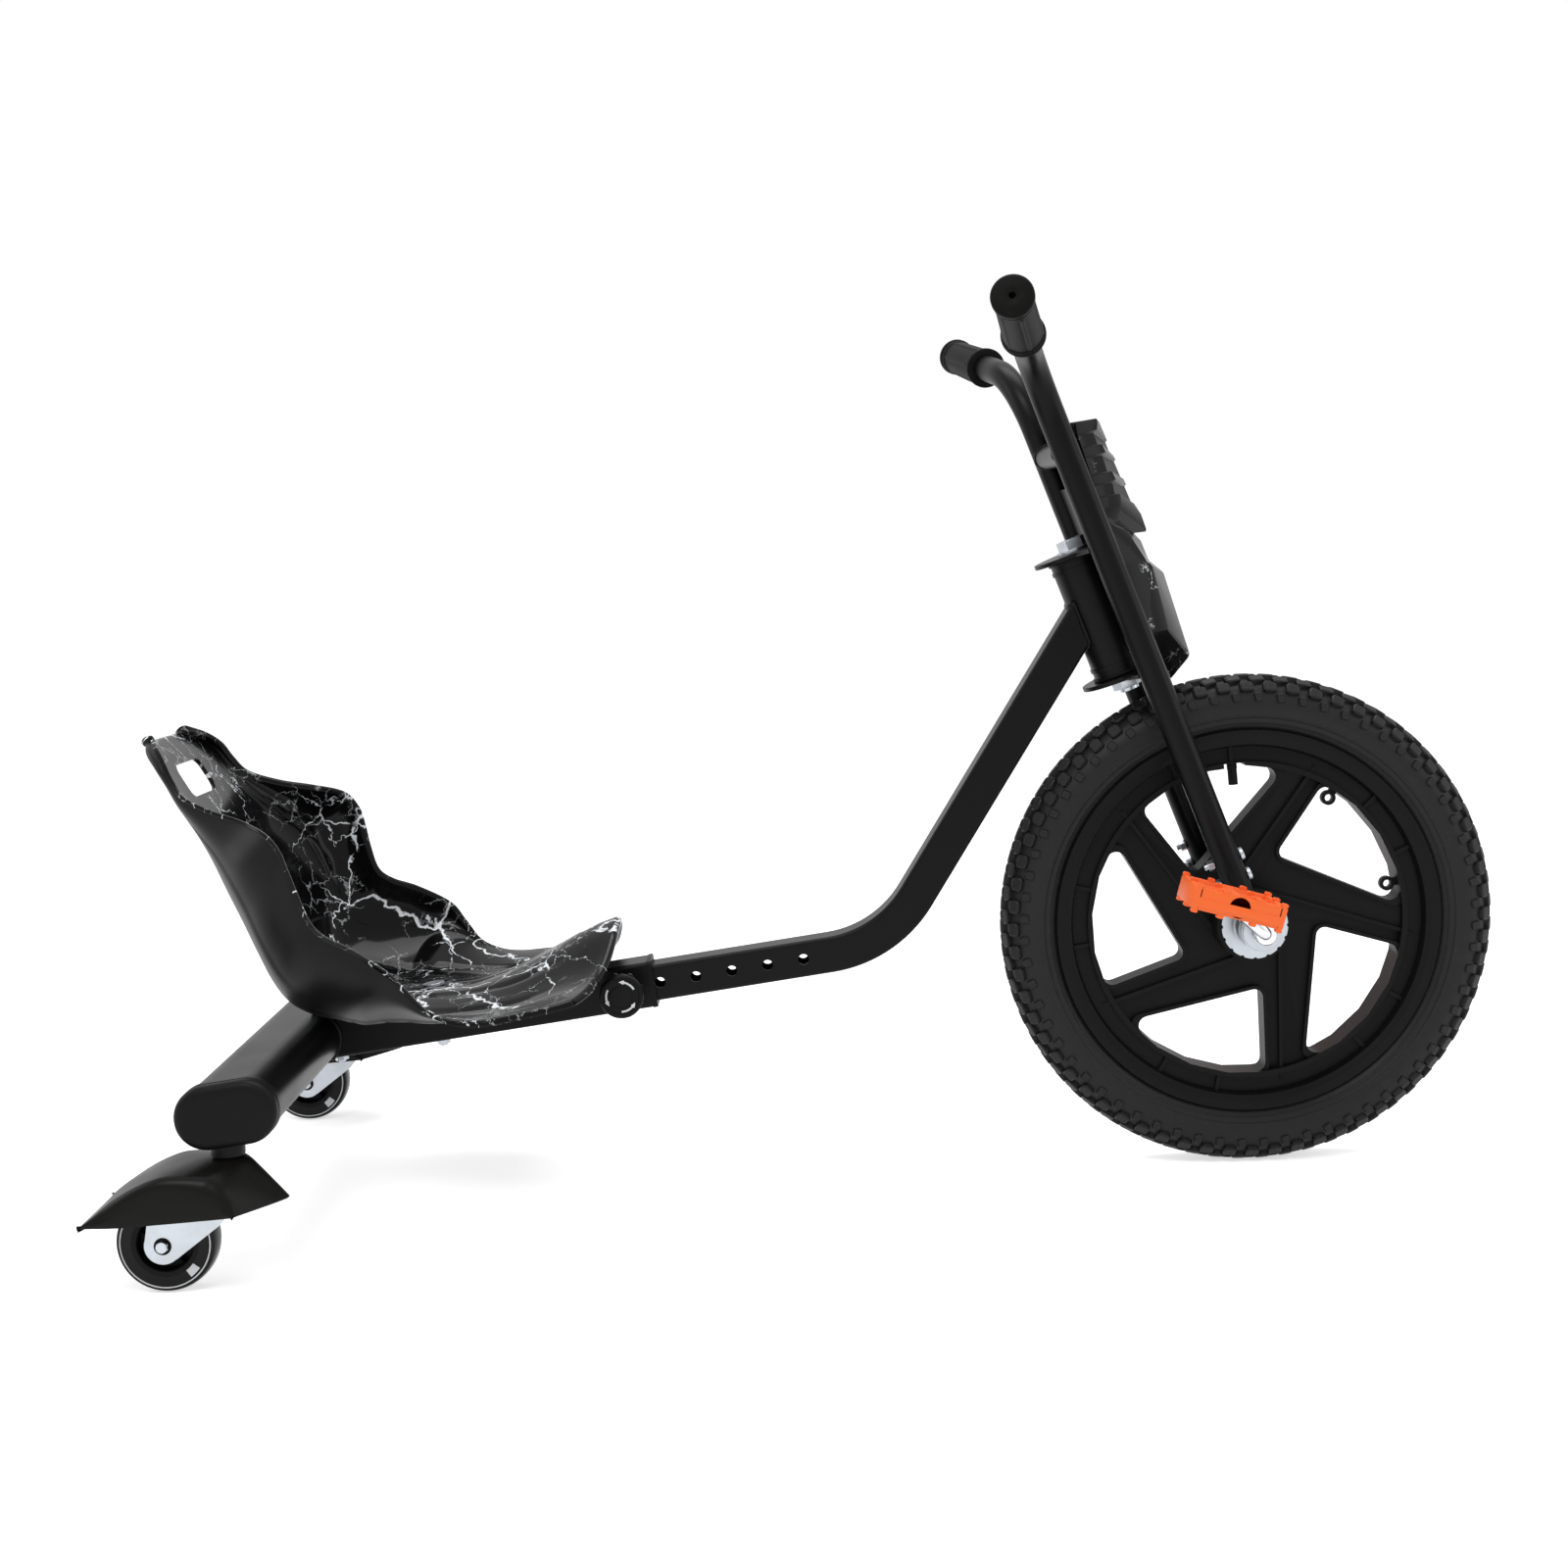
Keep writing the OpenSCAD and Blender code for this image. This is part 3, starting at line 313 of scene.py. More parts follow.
class Paint:
    """The nodes of a material, or of the world."""

    def __init__(self, name, kind="materials"):
        self.owner = getattr(bpy.data, kind).new(name)
        self.owner.use_nodes = True
        self.nodes = self.owner.node_tree.nodes
        self.links = self.owner.node_tree.links
        self.nodes.clear()

    @cached_property
    def place(self):
        """Object coordinates, in metres, which all textures read."""
        return self.value("ShaderNodeTexCoord", output="Object")

    def add(self, kind, sockets=None, **settings):
        """A node of one type: its settings first, then values or links for its sockets."""
        node = self.nodes.new(kind)
        for key, value in settings.items():
            setattr(node, key, value)
        for key, value in (sockets or {}).items():
            if isinstance(value, Val):
                self.links.new(value.socket, node.inputs[key])
            else:
                node.inputs[key].default_value = value
        return node

    def value(self, kind, sockets=None, output=0, **settings):
        """One output of a new node."""
        return Val(self, self.add(kind, sockets, **settings).outputs[output])

    def noise(self, scale, detail=3.0, rough=0.5, where=None, bend=0.0, output="Fac"):
        sockets = {"Vector": where or self.place, "Scale": scale, "Detail": detail,
                   "Roughness": rough, "Distortion": bend}
        return self.value("ShaderNodeTexNoise", sockets, output)

    def cells(self, scale, where, feature="DISTANCE_TO_EDGE"):
        sockets = {"Vector": where, "Scale": scale}
        return self.value("ShaderNodeTexVoronoi", sockets, "Distance", feature=feature)

    def smooth(self, value, low, high):
        """0 below low, 1 above high and a soft step between."""
        sockets = {"Value": value, "From Min": low, "From Max": high}
        return self.value("ShaderNodeMapRange", sockets, "Result", interpolation_type="SMOOTHSTEP")

    def split(self, vector):
        node = self.add("ShaderNodeSeparateXYZ", {"Vector": vector})
        return [Val(self, node.outputs[k]) for k in range(3)]

    def shifted(self, color, amount, where=None):
        """The place moved by a noise colour, centred on no move."""
        centred = self.value("ShaderNodeVectorMath", {0: color, 1: (0.5, 0.5, 0.5)}, operation="SUBTRACT")
        scaled = self.value("ShaderNodeVectorMath", {0: centred, "Scale": amount}, operation="SCALE")
        return self.value("ShaderNodeVectorMath", {0: where or self.place, 1: scaled}, operation="ADD")

    def mix(self, factor, a, b):
        """Colour a where the factor is 0 and b where it is 1."""
        a, b = [(*c, 1.0) if isinstance(c, tuple) else c for c in (a, b)]
        return self.value("ShaderNodeMix", {0: factor, 6: a, 7: b}, 2, data_type="RGBA")

    def seen(self):
        """1 for what the camera, gloss and clear pieces see, and 0 for the light on the scene."""
        path = self.add("ShaderNodeLightPath")
        camera, gloss, clear = [Val(self, path.outputs[k])
                                for k in ("Is Camera Ray", "Is Glossy Ray", "Is Transmission Ray")]
        return camera.math("MAXIMUM", gloss).math("MAXIMUM", clear)

    def bump(self, height, strength, distance_mm):
        sockets = {"Height": height, "Strength": strength, "Distance": distance_mm * MM}
        return self.value("ShaderNodeBump", sockets)

    def finish(self, sockets):
        """The Principled shader with its values and links, and the output."""
        sockets = {k: (*v, 1.0) if k == "Base Color" and isinstance(v, tuple) else v
                   for k, v in sockets.items()}
        shader = self.value("ShaderNodeBsdfPrincipled", sockets)
        self.add("ShaderNodeOutputMaterial", {"Surface": shader})
        return self.owner


def powder_paint(color):
    """Satin black powder coat on steel: a fine orange-peel skin, broad gloss changes and light dust."""
    p = Paint("powder_paint")
    peel = p.noise(900.0, 2.0)
    broad = p.noise(14.0, 3.0)
    dust = p.smooth(p.noise(240.0, 6.0, 0.7), 0.62, 0.8)
    shade = p.mix(dust * 0.1, color, (0.04, 0.04, 0.042))
    rough = 0.3 + broad * 0.12 + dust * 0.2
    return p.finish({"Base Color": shade, "Roughness": rough, "Specular IOR Level": 0.11,
                     "Normal": p.bump(peel, 0.1, 0.25)})


def zinc_plate(color):
    """Bright zinc: cool metal with soft blotches, fine scratches along it and duller patches."""
    p = Paint("zinc_plate")
    blotch = p.noise(60.0, 4.0)
    x, y, z = p.split(p.place)
    stretched = p.value("ShaderNodeCombineXYZ", {0: x * 40.0, 1: y * 2600.0, 2: z * 2600.0})
    scratch = p.noise(1.0, 2.0, where=stretched)
    tint = p.mix(p.smooth(blotch, 0.35, 0.7), color, (0.46, 0.49, 0.53))
    rough = 0.2 + blotch * 0.16 + scratch * 0.08
    return p.finish({"Base Color": tint, "Metallic": 1.0, "Roughness": rough,
                     "Normal": p.bump(scratch, 0.08, 0.1)})


def chrome_plate(color):
    """Polished plate on the cranks: near mirror, with faint waves and small marks."""
    p = Paint("chrome_plate")
    wave = p.noise(45.0, 2.0)
    marks = p.smooth(p.noise(700.0, 5.0, 0.7), 0.6, 0.75)
    return p.finish({"Base Color": p.mix(marks, color, (0.6, 0.61, 0.63)), "Metallic": 1.0,
                     "Roughness": 0.08 + wave * 0.08 + marks * 0.12, "Normal": p.bump(wave, 0.05, 0.4)})


def satin_plastic(name, color, rough, grain_mm, worn, sheen):
    """Moulded plastic: a leather-fine grain, faint flow marks and scuffs that show pale."""
    p = Paint(name)
    grain = p.noise(1000.0 / grain_mm, 2.0, 0.6)
    flow = p.noise(9.0, 4.0, 0.55, bend=1.2)
    scuff = p.smooth(p.noise(330.0, 7.0, 0.75), 0.6, 0.78)
    tone = p.mix(flow * 0.5, color, tuple(c * 1.4 + 0.002 for c in color))
    shade = p.mix(scuff * worn, tone, tuple(c * 0.7 + 0.035 for c in color))
    return p.finish({"Base Color": shade, "Roughness": rough + flow * 0.14 + scuff * 0.1 - grain * 0.05,
                     "Specular IOR Level": sheen, "Normal": p.bump(grain, 0.22, 0.12)})


def rubber(name, color, rough, sheen):
    """Tyre and grip rubber: dull, with a fine open texture, bloom and a little grey dust."""
    p = Paint(name)
    fine = p.noise(1500.0, 4.0, 0.65)
    patches = p.noise(26.0, 4.0)
    dust = p.smooth(p.noise(160.0, 8.0, 0.8), 0.52, 0.78)
    shade = p.mix(patches * 0.5, color, tuple(c * 1.5 + 0.003 for c in color))
    shade = p.mix(dust * 0.25, shade, (0.045, 0.044, 0.042))
    return p.finish({"Base Color": shade, "Roughness": rough + patches * 0.1, "Specular IOR Level": sheen,
                     "Normal": p.bump(fine, 0.35, 0.2)})


def branching(p, scale, spread, width, keep):
    """Broken forked lines: the walls between cells that noise of two sizes has bent and made jagged, kept
    where a slow noise is above a limit, and thicker the further above it is."""
    jagged = p.shifted(p.noise(scale * 1.7, output="Color"), spread)
    jagged = p.shifted(p.noise(scale * 9.0, output="Color"), spread * 0.34, jagged)
    wall = p.cells(scale, jagged)
    cluster = p.noise(scale * 0.55, 2.0)
    thick = width * (0.3 + p.smooth(cluster, keep, keep + 0.2) * 1.2)
    line = 1.0 - p.smooth(wall / thick, 0.3, 1.0)
    knot = 1.0 - p.smooth(p.cells(scale * 0.6, jagged, "F1") / 0.11, 0.3, 1.0)
    broken = p.smooth(p.noise(scale * 6.0, 2.0), 0.34, 0.46)
    return line.math("MAXIMUM", knot * 0.8) * broken * p.smooth(cluster, keep, keep + 0.05)


def veined_gloss(name, ground, vein, rough, scale, keep, sheen):
    """Black gloss plastic with pale forked veins of three sizes, fine specks and faint cloudy patches."""
    p = Paint(name)
    trunk = branching(p, scale, 0.045, 0.013, keep)
    twig = branching(p, scale * 2.2, 0.03, 0.017, keep + 0.02)
    hair = branching(p, scale * 5.0, 0.014, 0.03, keep + 0.04)
    cloud = p.smooth(p.noise(scale * 0.8, 5.0, 0.6), 0.6, 0.82)
    speck = p.smooth(p.noise(scale * 40.0, 3.0, 0.7), 0.66, 0.72) * cloud
    lines = trunk.math("MAXIMUM", twig * 0.8).math("MAXIMUM", hair * 0.3).math("MAXIMUM", speck * 0.4)
    base = p.mix(cloud * 0.05, ground, (0.1, 0.105, 0.12))
    shade = p.mix(lines, base, vein)
    wave = p.noise(26.0, 2.0)
    return p.finish({"Base Color": shade, "Roughness": rough + wave * 0.05, "Specular IOR Level": sheen,
                     "Coat Weight": sheen * 0.5, "Coat Roughness": 0.05, "Normal": p.bump(wave, 0.02, 0.4)})


# Name, colour, roughness, grain in mm, wear and sheen of each satin plastic
SATINS = (
    ("black_plastic", (0.0035, 0.0035, 0.0036), 0.4, 0.8, 0.2, 0.1),
    ("wheel_plastic", (0.004, 0.0038, 0.0038), 0.4, 0.9, 0.15, 0.1),
    ("caster_tread", (0.004, 0.004, 0.004), 0.16, 1.4, 0.1, 0.14),
    ("seat_back", (0.0055, 0.0055, 0.0057), 0.36, 0.8, 0.15, 0.14),
    ("fender_plastic", (0.0045, 0.0042, 0.0038), 0.3, 1.2, 0.1, 0.1),
    ("clear_insert", (0.62, 0.64, 0.66), 0.2, 1.0, 0.0, 0.5),
    ("white_print", (0.6, 0.62, 0.63), 0.5, 0.6, 0.0, 0.15))
# Name, colour, roughness and sheen of each rubber
RUBBERS = (("grip_rubber", (0.0035, 0.0035, 0.0032), 0.5, 0.06),
           ("tyre_rubber", (0.006, 0.006, 0.0063), 0.45, 0.22))
VEIN = (0.8, 0.83, 0.86)
# Name, ground, vein colour, roughness, scale, the slow noise's limit and sheen of each veined plastic
GLOSSES = (("seat_plastic", (0.0025, 0.0025, 0.0028), VEIN, 0.1, 10.0, 0.46, 0.1),
           ("panel_plastic", (0.0035, 0.0032, 0.003), VEIN, 0.24, 12.0, 0.57, 0.08))
MATERIALS = {}


def build_materials(look):
    """Fills MATERIALS with every finish by its name."""
    MATERIALS["frame_paint"] = powder_paint(tuple(look.frame_color))
    MATERIALS["zinc"] = zinc_plate((0.4, 0.425, 0.45))
    MATERIALS["steel_crank"] = chrome_plate((0.66, 0.67, 0.69))
    pedal = ("pedal_plastic", tuple(look.pedal_color), 0.38, 1.1, 0.12, 0.35)
    for maker, rows in ((satin_plastic, SATINS + (pedal,)), (rubber, RUBBERS), (veined_gloss, GLOSSES)):
        for row in rows:
            MATERIALS[row[0]] = maker(*row)


def dress_frame():
    """Gives every CAD node the finish of its slot."""
    for node, obj in frame["nodes"].items():
        obj.data.materials.clear()
        obj.data.materials.append(MATERIALS[SLOTS[node]])


class TrikeLook(bpy.types.PropertyGroup):
    frame_color: FloatVectorProperty(name="Frame colour", description="Colour of the powder coat",
                                     subtype="COLOR", default=(0.0028, 0.0028, 0.003))
    pedal_color: FloatVectorProperty(name="Pedal colour", description="Colour of the pedals",
                                     subtype="COLOR", default=(0.83, 0.13, 0.02))
    floor_color: FloatVectorProperty(name="Floor colour", description="Colour of the floor and backdrop",
                                     subtype="COLOR", default=(0.92, 0.92, 0.92))
    knobs_round: IntProperty(name="Tread knobs", description="Knobs in one row round the tyre", default=64,
                             min=40, max=90)
    light: FloatProperty(name="Light", description="Strength of the studio light", default=1.0, min=0.1,
                         max=4.0)


class TRIKE_OT_finishes(bpy.types.Operator):
    """Makes the materials and puts them on the CAD frame"""
    bl_idname = "trike.finishes"
    bl_label = "Finishes"

    def execute(self, context):
        build_materials(context.scene.trike_look)
        dress_frame()
        return {"FINISHED"}


def camera_turn(yaw, pitch, roll):
    """Columns of the camera's rotation: right, up and back, for a camera that looks along +Y at rest."""
    cy, sy, cp, sp = math.cos(yaw), math.sin(yaw), math.cos(pitch), math.sin(pitch)
    cr, sr = math.cos(roll), math.sin(roll)
    ahead = np.array([sy * cp, cy * cp, -sp])
    right = np.array([cy, -sy, 0.0])
    down = np.cross(ahead, right)
    return np.stack([cr * right + sr * down, sr * right - cr * down, -ahead], -1)


class TRIKE_OT_stage(bpy.types.Operator):
    """Adds the floor, the lights and the camera at the photograph's angle"""
    bl_idname = "trike.stage"
    bl_label = "Stage"

    def execute(self, context):
        look = context.scene.trike_look
        add_floor(tuple(look.floor_color))
        add_lights(look.light)
        add_camera()
        context.scene.view_settings.view_transform = "Standard"
        return {"FINISHED"}


SKY = 0.5
FLOOR_GLOW = 0.6
FLOOR_HALF = 30.0 / MM
WHITE = (1.0, 1.0, 1.0, 1.0)
LAMP_AIM = (0.0, 0.0, 0.3)
# Name, place, size and power of each lamp
LAMPS = (("key", (-0.7, -1.7, 2.4), (1.1, 0.8), 30.0), ("top", (0.1, 0.6, 2.6), (1.8, 1.0), 30.0),
         ("right", (2.4, -0.6, 1.3), (1.0, 1.8), 12.0), ("left", (-2.5, 0.4, 1.2), (1.0, 1.8), 14.0))
# The camera's place in metres, its yaw, pitch and roll in radians and its lens in mm
CAMERA_PLACE = (-0.03332, -1.76572, 0.51666)
CAMERA_TURN = (0.0003, 0.1063, 0.0353)
CAMERA_LENS = 49.46


def add_floor(color):
    """A large plain floor. Camera, gloss and clear rays also see it glow, so that it ends in the white
    world with no line, and keeps the soft shadows near the wheels."""
    p = Paint("floor")
    near = p.noise(3.0, 2.0)
    shader = p.value("ShaderNodeBsdfDiffuse", {"Color": p.mix(near * 0.2, color, (0.94, 0.94, 0.94))})
    glow = p.value("ShaderNodeEmission", {"Color": WHITE, "Strength": p.seen() * FLOOR_GLOW})
    both = p.value("ShaderNodeAddShader", {0: shader, 1: glow})
    p.add("ShaderNodeOutputMaterial", {"Surface": both})
    grid = np.linspace(-FLOOR_HALF, FLOOR_HALF, 5)
    x, y = np.meshgrid(grid, grid, indexing="ij")
    obj = mesh_object("floor", Shape().grid(np.stack([x, y, np.zeros_like(x)], -1)))
    obj.data.materials.append(p.owner)


def add_area(name, place, size, power):
    """An area lamp at a place in metres, facing the trike's middle."""
    lamp = bpy.data.lights.new(name, "AREA")
    lamp.shape = "RECTANGLE"
    lamp.size, lamp.size_y = size
    lamp.energy = power
    obj = placed(name, lamp)
    obj.location = place
    obj.rotation_euler = (Vector(LAMP_AIM) - Vector(place)).to_track_quat("-Z", "Y").to_euler()


def add_lights(strength):
    """Soft boxes over, beside and behind the trike, and a white world that lights it more weakly."""
    for name, place, size, power in LAMPS:
        add_area(name, place, size, power * strength)
    sky = Paint("studio", "worlds")
    bpy.context.scene.world = sky.owner
    level = sky.value("ShaderNodeMapRange", {"Value": sky.seen(), "To Min": SKY, "To Max": 1.0})
    back = sky.value("ShaderNodeBackground", {"Color": WHITE, "Strength": level})
    sky.add("ShaderNodeOutputWorld", {"Surface": back})


def add_camera():
    """The photograph's camera: 1.77 m to the right, looking 6 degrees down with a roll of 2 degrees."""
    data = bpy.data.cameras.new("camera")
    data.lens = CAMERA_LENS
    data.sensor_width = 36.0
    data.clip_end = 200.0
    obj = placed("camera", data)
    matrix = Matrix(camera_turn(*CAMERA_TURN).tolist()).to_4x4()
    matrix.translation = Vector(CAMERA_PLACE)
    obj.matrix_world = matrix
    bpy.context.scene.camera = obj


# Seat stations from the front lip to the top of the back: the middle's x and z, the edge's x, y and z,
# the height of the pommel and the depth of the hollows beside it
SEAT_STATIONS = (
    (-174.5, 178, -203, 119, 177, 44, 0), (-199, 176, -228, 134, 176, 37, 2),
    (-232, 174, -252, 142, 173.5, 22, 6), (-262, 173, -271, 146, 172, 9, 9),
    (-292, 172, -291, 148, 174, 1, 11), (-322, 171, -311, 150, 181, 0, 12),
    (-347, 170, -326, 155, 198, 0, 12), (-368, 169.5, -338, 159, 212, 0, 11),
    (-388, 169.5, -364, 151, 228, 0, 9),
    (-409, 170.5, -384, 144, 237, 0, 7), (-427, 176, -398, 140, 249, 0, 4), (-438, 189, -407, 145, 271, 0, 2),
    (-448, 211, -412, 151, 292, 0, 0), (-459, 237, -415, 151, 304, 0, 0), (-471, 264, -424, 147, 315, 0, 0),
    (-483, 289, -446, 128, 323, 0, 0), (-493, 311, -471, 114, 330, 0, 0), (-502, 330, -496, 101, 341, 0, 0),
    (-514, 352, -508, 92, 355, 0, 0), (-524, 369, -517, 86, 367, 0, 0),
    (-531.5, 378.5, -527.5, 73, 377.5, 0, 0), (-536, 383.5, -534.5, 50, 383.5, 0, 0))
SEAT_SHIFT = np.array([-2.6, 0.0, 0.0])
SEAT_WALL = 3.2
SEAT_SQUARE = 2.8
# Pairs hold a distance across the seat and a bell curve's width
POMMEL = (0.0, 42.0)
HOLLOW = (84.0, 40.0)
GROOVES = ((0.0, 2.6), (34.0, 2.6), (68.0, 2.6), (104.0, 2.6))
GROOVE_DEPTH = 1.9
LIP_R = 4.2
LIP_CURL = 115.0
CREASE = 2.2
SLOT_MIDDLE = np.array([-516.6, 0.0, 351.0])
SLOT_HALF = (15.0, 36.0)
SLOT_CORNER = 9.0
SLOT_TILT = 63.0
SLOT_REACH = 25.0


def bell(y, middle, width):
    """A bell curve over y."""
    return np.exp(-((y - middle) / width) ** 2)


def seat_surface(t, u):
    """The seat's inside: at each station a squared ellipse from the middle out to the edge, which turns
    into a parabola at the front lip, with the pommel and the hollows added as bell curves across it,
    long grooves sunk in the pan and a small step where the back turns into the wings."""
    s = smooth_curve(SEAT_STATIONS, t)
    k = np.linspace(0, len(SEAT_STATIONS) - 1, len(s))[:, None]
    front = np.clip(1 - k / 3, 0, 1)
    flat = np.clip((7 - k) / 3, 0, 1)
    a = np.abs(u)[None] ** (SEAT_SQUARE / 2) * math.pi / 2
    across = np.sin(a) ** (2 / SEAT_SQUARE)
    rise = 1 - np.abs(np.cos(a)) ** (2 / SEAT_SQUARE)
    rise = rise + flat * (across ** 2 - rise)
    y = s[:, 3, None] * across
    swell = s[:, 5, None] * bell(y, POMMEL[0], POMMEL[1] + 24 * front) - s[:, 6, None] * bell(y, *HOLLOW)
    pan = np.clip((k - 1.2) / 1.5, 0, 1) * np.clip((9.5 - k) / 1.5, 0, 1)
    grooves = sum(-GROOVE_DEPTH * bell(y, *groove) for groove in GROOVES)
    back = np.clip((k - 9) / 2, 0, 1) * np.clip((19 - k) / 3, 0, 1)
    step = CREASE * back / (1 + np.exp((1.0 - a) * 60))
    x = s[:, 0, None] + (s[:, 2] - s[:, 0])[:, None] * rise
    z = s[:, 1, None] + (s[:, 4] - s[:, 1])[:, None] * rise + swell + pan * grooves
    return np.stack([x, np.sign(u)[None] * (y - step), z], -1) + SEAT_SHIFT


def edge_loop(grid):
    """The outer points of a grid in order round it."""
    return np.vstack([grid[0], grid[1:, -1], grid[-1, -2::-1], grid[-2:0:-1, 0]])


def blurred(loop, steps):
    """A closed loop of vectors averaged with its neighbours on both sides."""
    return sum(np.roll(loop, k, 0) for k in range(-steps, steps + 1)) / (2 * steps + 1)


def rolled_lip(inner):
    """At each point of the seat's edge an arc starts in the surface, square to the edge, and curls over
    to the outside."""
    loop = edge_loop(inner)
    rise = np.cross(np.gradient(inner, axis=1), np.gradient(inner, axis=0))
    up = unit(blurred(unit(edge_loop(rise)), 6))
    along = unit(blurred(np.roll(loop, -1, 0) - np.roll(loop, 1, 0), 5))
    out = unit(np.cross(along, up))
    out = out * np.sign((out * (loop - loop.mean(0))).sum())
    a = np.radians(np.linspace(0, LIP_CURL, 9))[None, :, None]
    return loop[:, None] + LIP_R * (np.sin(a) * out[:, None] + (np.cos(a) - 1) * up[:, None])


def slot_distance(x, y):
    """Distance from the outline of the hand slot, a rectangle with round corners, below 0 inside it."""
    qx, qy = np.abs(x) - (SLOT_HALF[0] - SLOT_CORNER), np.abs(y) - (SLOT_HALF[1] - SLOT_CORNER)
    outer = np.hypot(np.maximum(qx, 0), np.maximum(qy, 0))
    return outer + np.minimum(np.maximum(qx, qy), 0) - SLOT_CORNER


def cut_slot(points, faces):
    """Takes the faces inside the hand slot out of a grid and draws its edge points onto the outline."""
    flat = points.reshape(-1, 3)
    tilt = math.radians(SLOT_TILT)
    along = np.array([math.cos(tilt), 0.0, -math.sin(tilt)])
    rel = flat - SLOT_MIDDLE
    x, y = rel @ along, rel[:, 1]
    near = np.abs(rel @ np.array([math.sin(tilt), 0.0, math.cos(tilt)])) < SLOT_REACH
    d = slot_distance(x, y)
    middle = flat[faces].mean(1) - SLOT_MIDDLE
    inside = slot_distance(middle @ along, middle[:, 1]) < 0
    inside &= near[faces].all(1)
    kept, gone = faces[~inside], faces[inside]
    rim = np.intersect1d(kept.ravel(), gone.ravel())
    h = 0.01
    gx = (slot_distance(x + h, y) - slot_distance(x - h, y)) / (2 * h)
    gy = (slot_distance(x, y + h) - slot_distance(x, y - h)) / (2 * h)
    moved = flat.copy()
    moved[rim] -= (d[rim] * gx[rim])[:, None] * along + (d[rim] * gy[rim])[:, None] * ACROSS
    return moved, kept


class TRIKE_OT_seat(bpy.types.Operator):
    """Makes the moulded bucket seat with its rolled edge and hand slot"""
    bl_idname = "trike.seat"
    bl_label = "Seat"

    def execute(self, context):
        make_seat()
        return {"FINISHED"}


def make_seat():
    """The inner skin and its rolled lip get a wall on their outer side, with rounded edges at the slot."""
    inner = seat_surface(171, np.linspace(-1, 1, 127))
    shell = Shape().grid(inner)
    points, kept = cut_slot(inner, np.array(shell.faces)[:, ::-1])
    skin = Shape().add(points, kept)
    lip = rolled_lip(inner)
    strip = Shape().grid(lip, close_rows=True)
    skin.add(lip, np.array(strip.faces)[:, ::-1])
    obj = piece("seat_skin", skin, "rear_frame", "seat_plastic", ("seat_shell",), closed=False,
                wall=SEAT_WALL, bevel=0.9, smooth=60)
    obj.data.materials.append(MATERIALS["seat_back"])
    obj.modifiers["wall"].material_offset = 1


class TRIKE_OT_tyre(bpy.types.Operator):
    """Makes the knobbed front tyre"""
    bl_idname = "trike.tyre"
    bl_label = "Front tyre"

    def execute(self, context):
        make_tyre(context.scene.trike_look.knobs_round)
        return {"FINISHED"}


# The tyre's section: radius and distance from the middle plane, from the bead out to the crown
TYRE_SECTION = ((154, 13), (158, 15.5), (161, 18), (163, 19.6), (164.2, 20.9), (165.4, 20.6), (168, 21.8),
                (169, 22.9), (170.2, 22.5), (176, 23.4), (182, 22.9), (188, 20.3), (193, 16.2), (196.6, 10.8),
                (198.6, 5.2), (199.2, 0))
# Each row of blocks: angle round the section, length round the tyre, width, height and shift in steps
KNOB_ROWS = (
    (0.0, 13.0, 9.5, 3.7, 0.0), (25.0, 12.0, 8.5, 4.0, 0.5), (49.0, 11.0, 9.0, 4.6, 0.0),
    (70.0, 7.5, 7.5, 3.4, 0.5))
# Degrees that a row's blocks are turned by, and the shift in steps from one side of the tyre to the other
KNOB_SKEW = {25.0: 10.0, 70.0: 10.0}
SIDE_SHIFT = 0.12
TYRE_SIDES = 256
SECTION_MIDDLE = 177.5
SECTION_R = 21.7


def tyre_knobs(count):
    """Tread blocks: a block with chamfered edges, copied round the tyre in rows at angles of its section."""
    corner = rounded_box(0.5, 0.5, 0.16, 2)
    blocks = []
    for angle, length, width, height, shift in KNOB_ROWS:
        for side in ((1,) if angle == 0 else (1, -1)):
            rings = [(1.08, -2.0), (1.0, height - 0.9), (0.8, height), (0.05, height + 0.05)]
            local = np.array([[(x * length * k, y * width * k, h) for x, y in corner] for k, h in rings])
            a = (np.arange(count) + shift + (SIDE_SHIFT if side < 0 else 0)) * 2 * math.pi / count
            x, y, lift = np.moveaxis(turned(local, UP, KNOB_SKEW.get(angle, 0.0) * side), -1, 0)
            b = math.radians(angle) * side
            r = SECTION_MIDDLE + (SECTION_R + lift) * math.cos(b) - y * math.sin(b)
            z = (SECTION_R + lift) * math.sin(b) + y * math.cos(b)
            turn = a[:, None, None] + (x / (SECTION_MIDDLE + SECTION_R))[None]
            blocks.append(np.stack([r * np.cos(turn), r * np.sin(turn), np.broadcast_to(z, turn.shape)], -1))
    return np.concatenate(blocks)


def make_tyre(count):
    """The carcass is its section turned round the axle; the knobs stand on it."""
    half = smooth_curve(TYRE_SECTION, 46)
    whole = np.vstack([half, half[-2::-1] * (1, -1)])
    shape = Shape().grid(wheeled(lathe(whole, TYRE_SIDES)), True, True)
    for block in wheeled(tyre_knobs(count)):
        shape.grid(block, close_cols=True)
    piece("tyre_tread", shape, "front_wheel", "tyre_rubber", ("tyre",), smooth=35)


class TRIKE_OT_grips(bpy.types.Operator):
    """Makes the rubber grips with their flanges and ridges"""
    bl_idname = "trike.grips"
    bl_label = "Grips"

    def execute(self, context):
        for side, name in SIDES:
            make_grip(side, name)
        return {"FINISHED"}


LEG_CORNER = np.array([LEG_X, LEG_Y, 213.5])
HANDLE_DIR = unit((-0.108, 0.962, 0.248))
HANDLE_LEN = 183.0
GRIP_LEN = 98.0
GRIP_SIDES = 192
RIDGE = 1.1
TUBE_R = 11.05


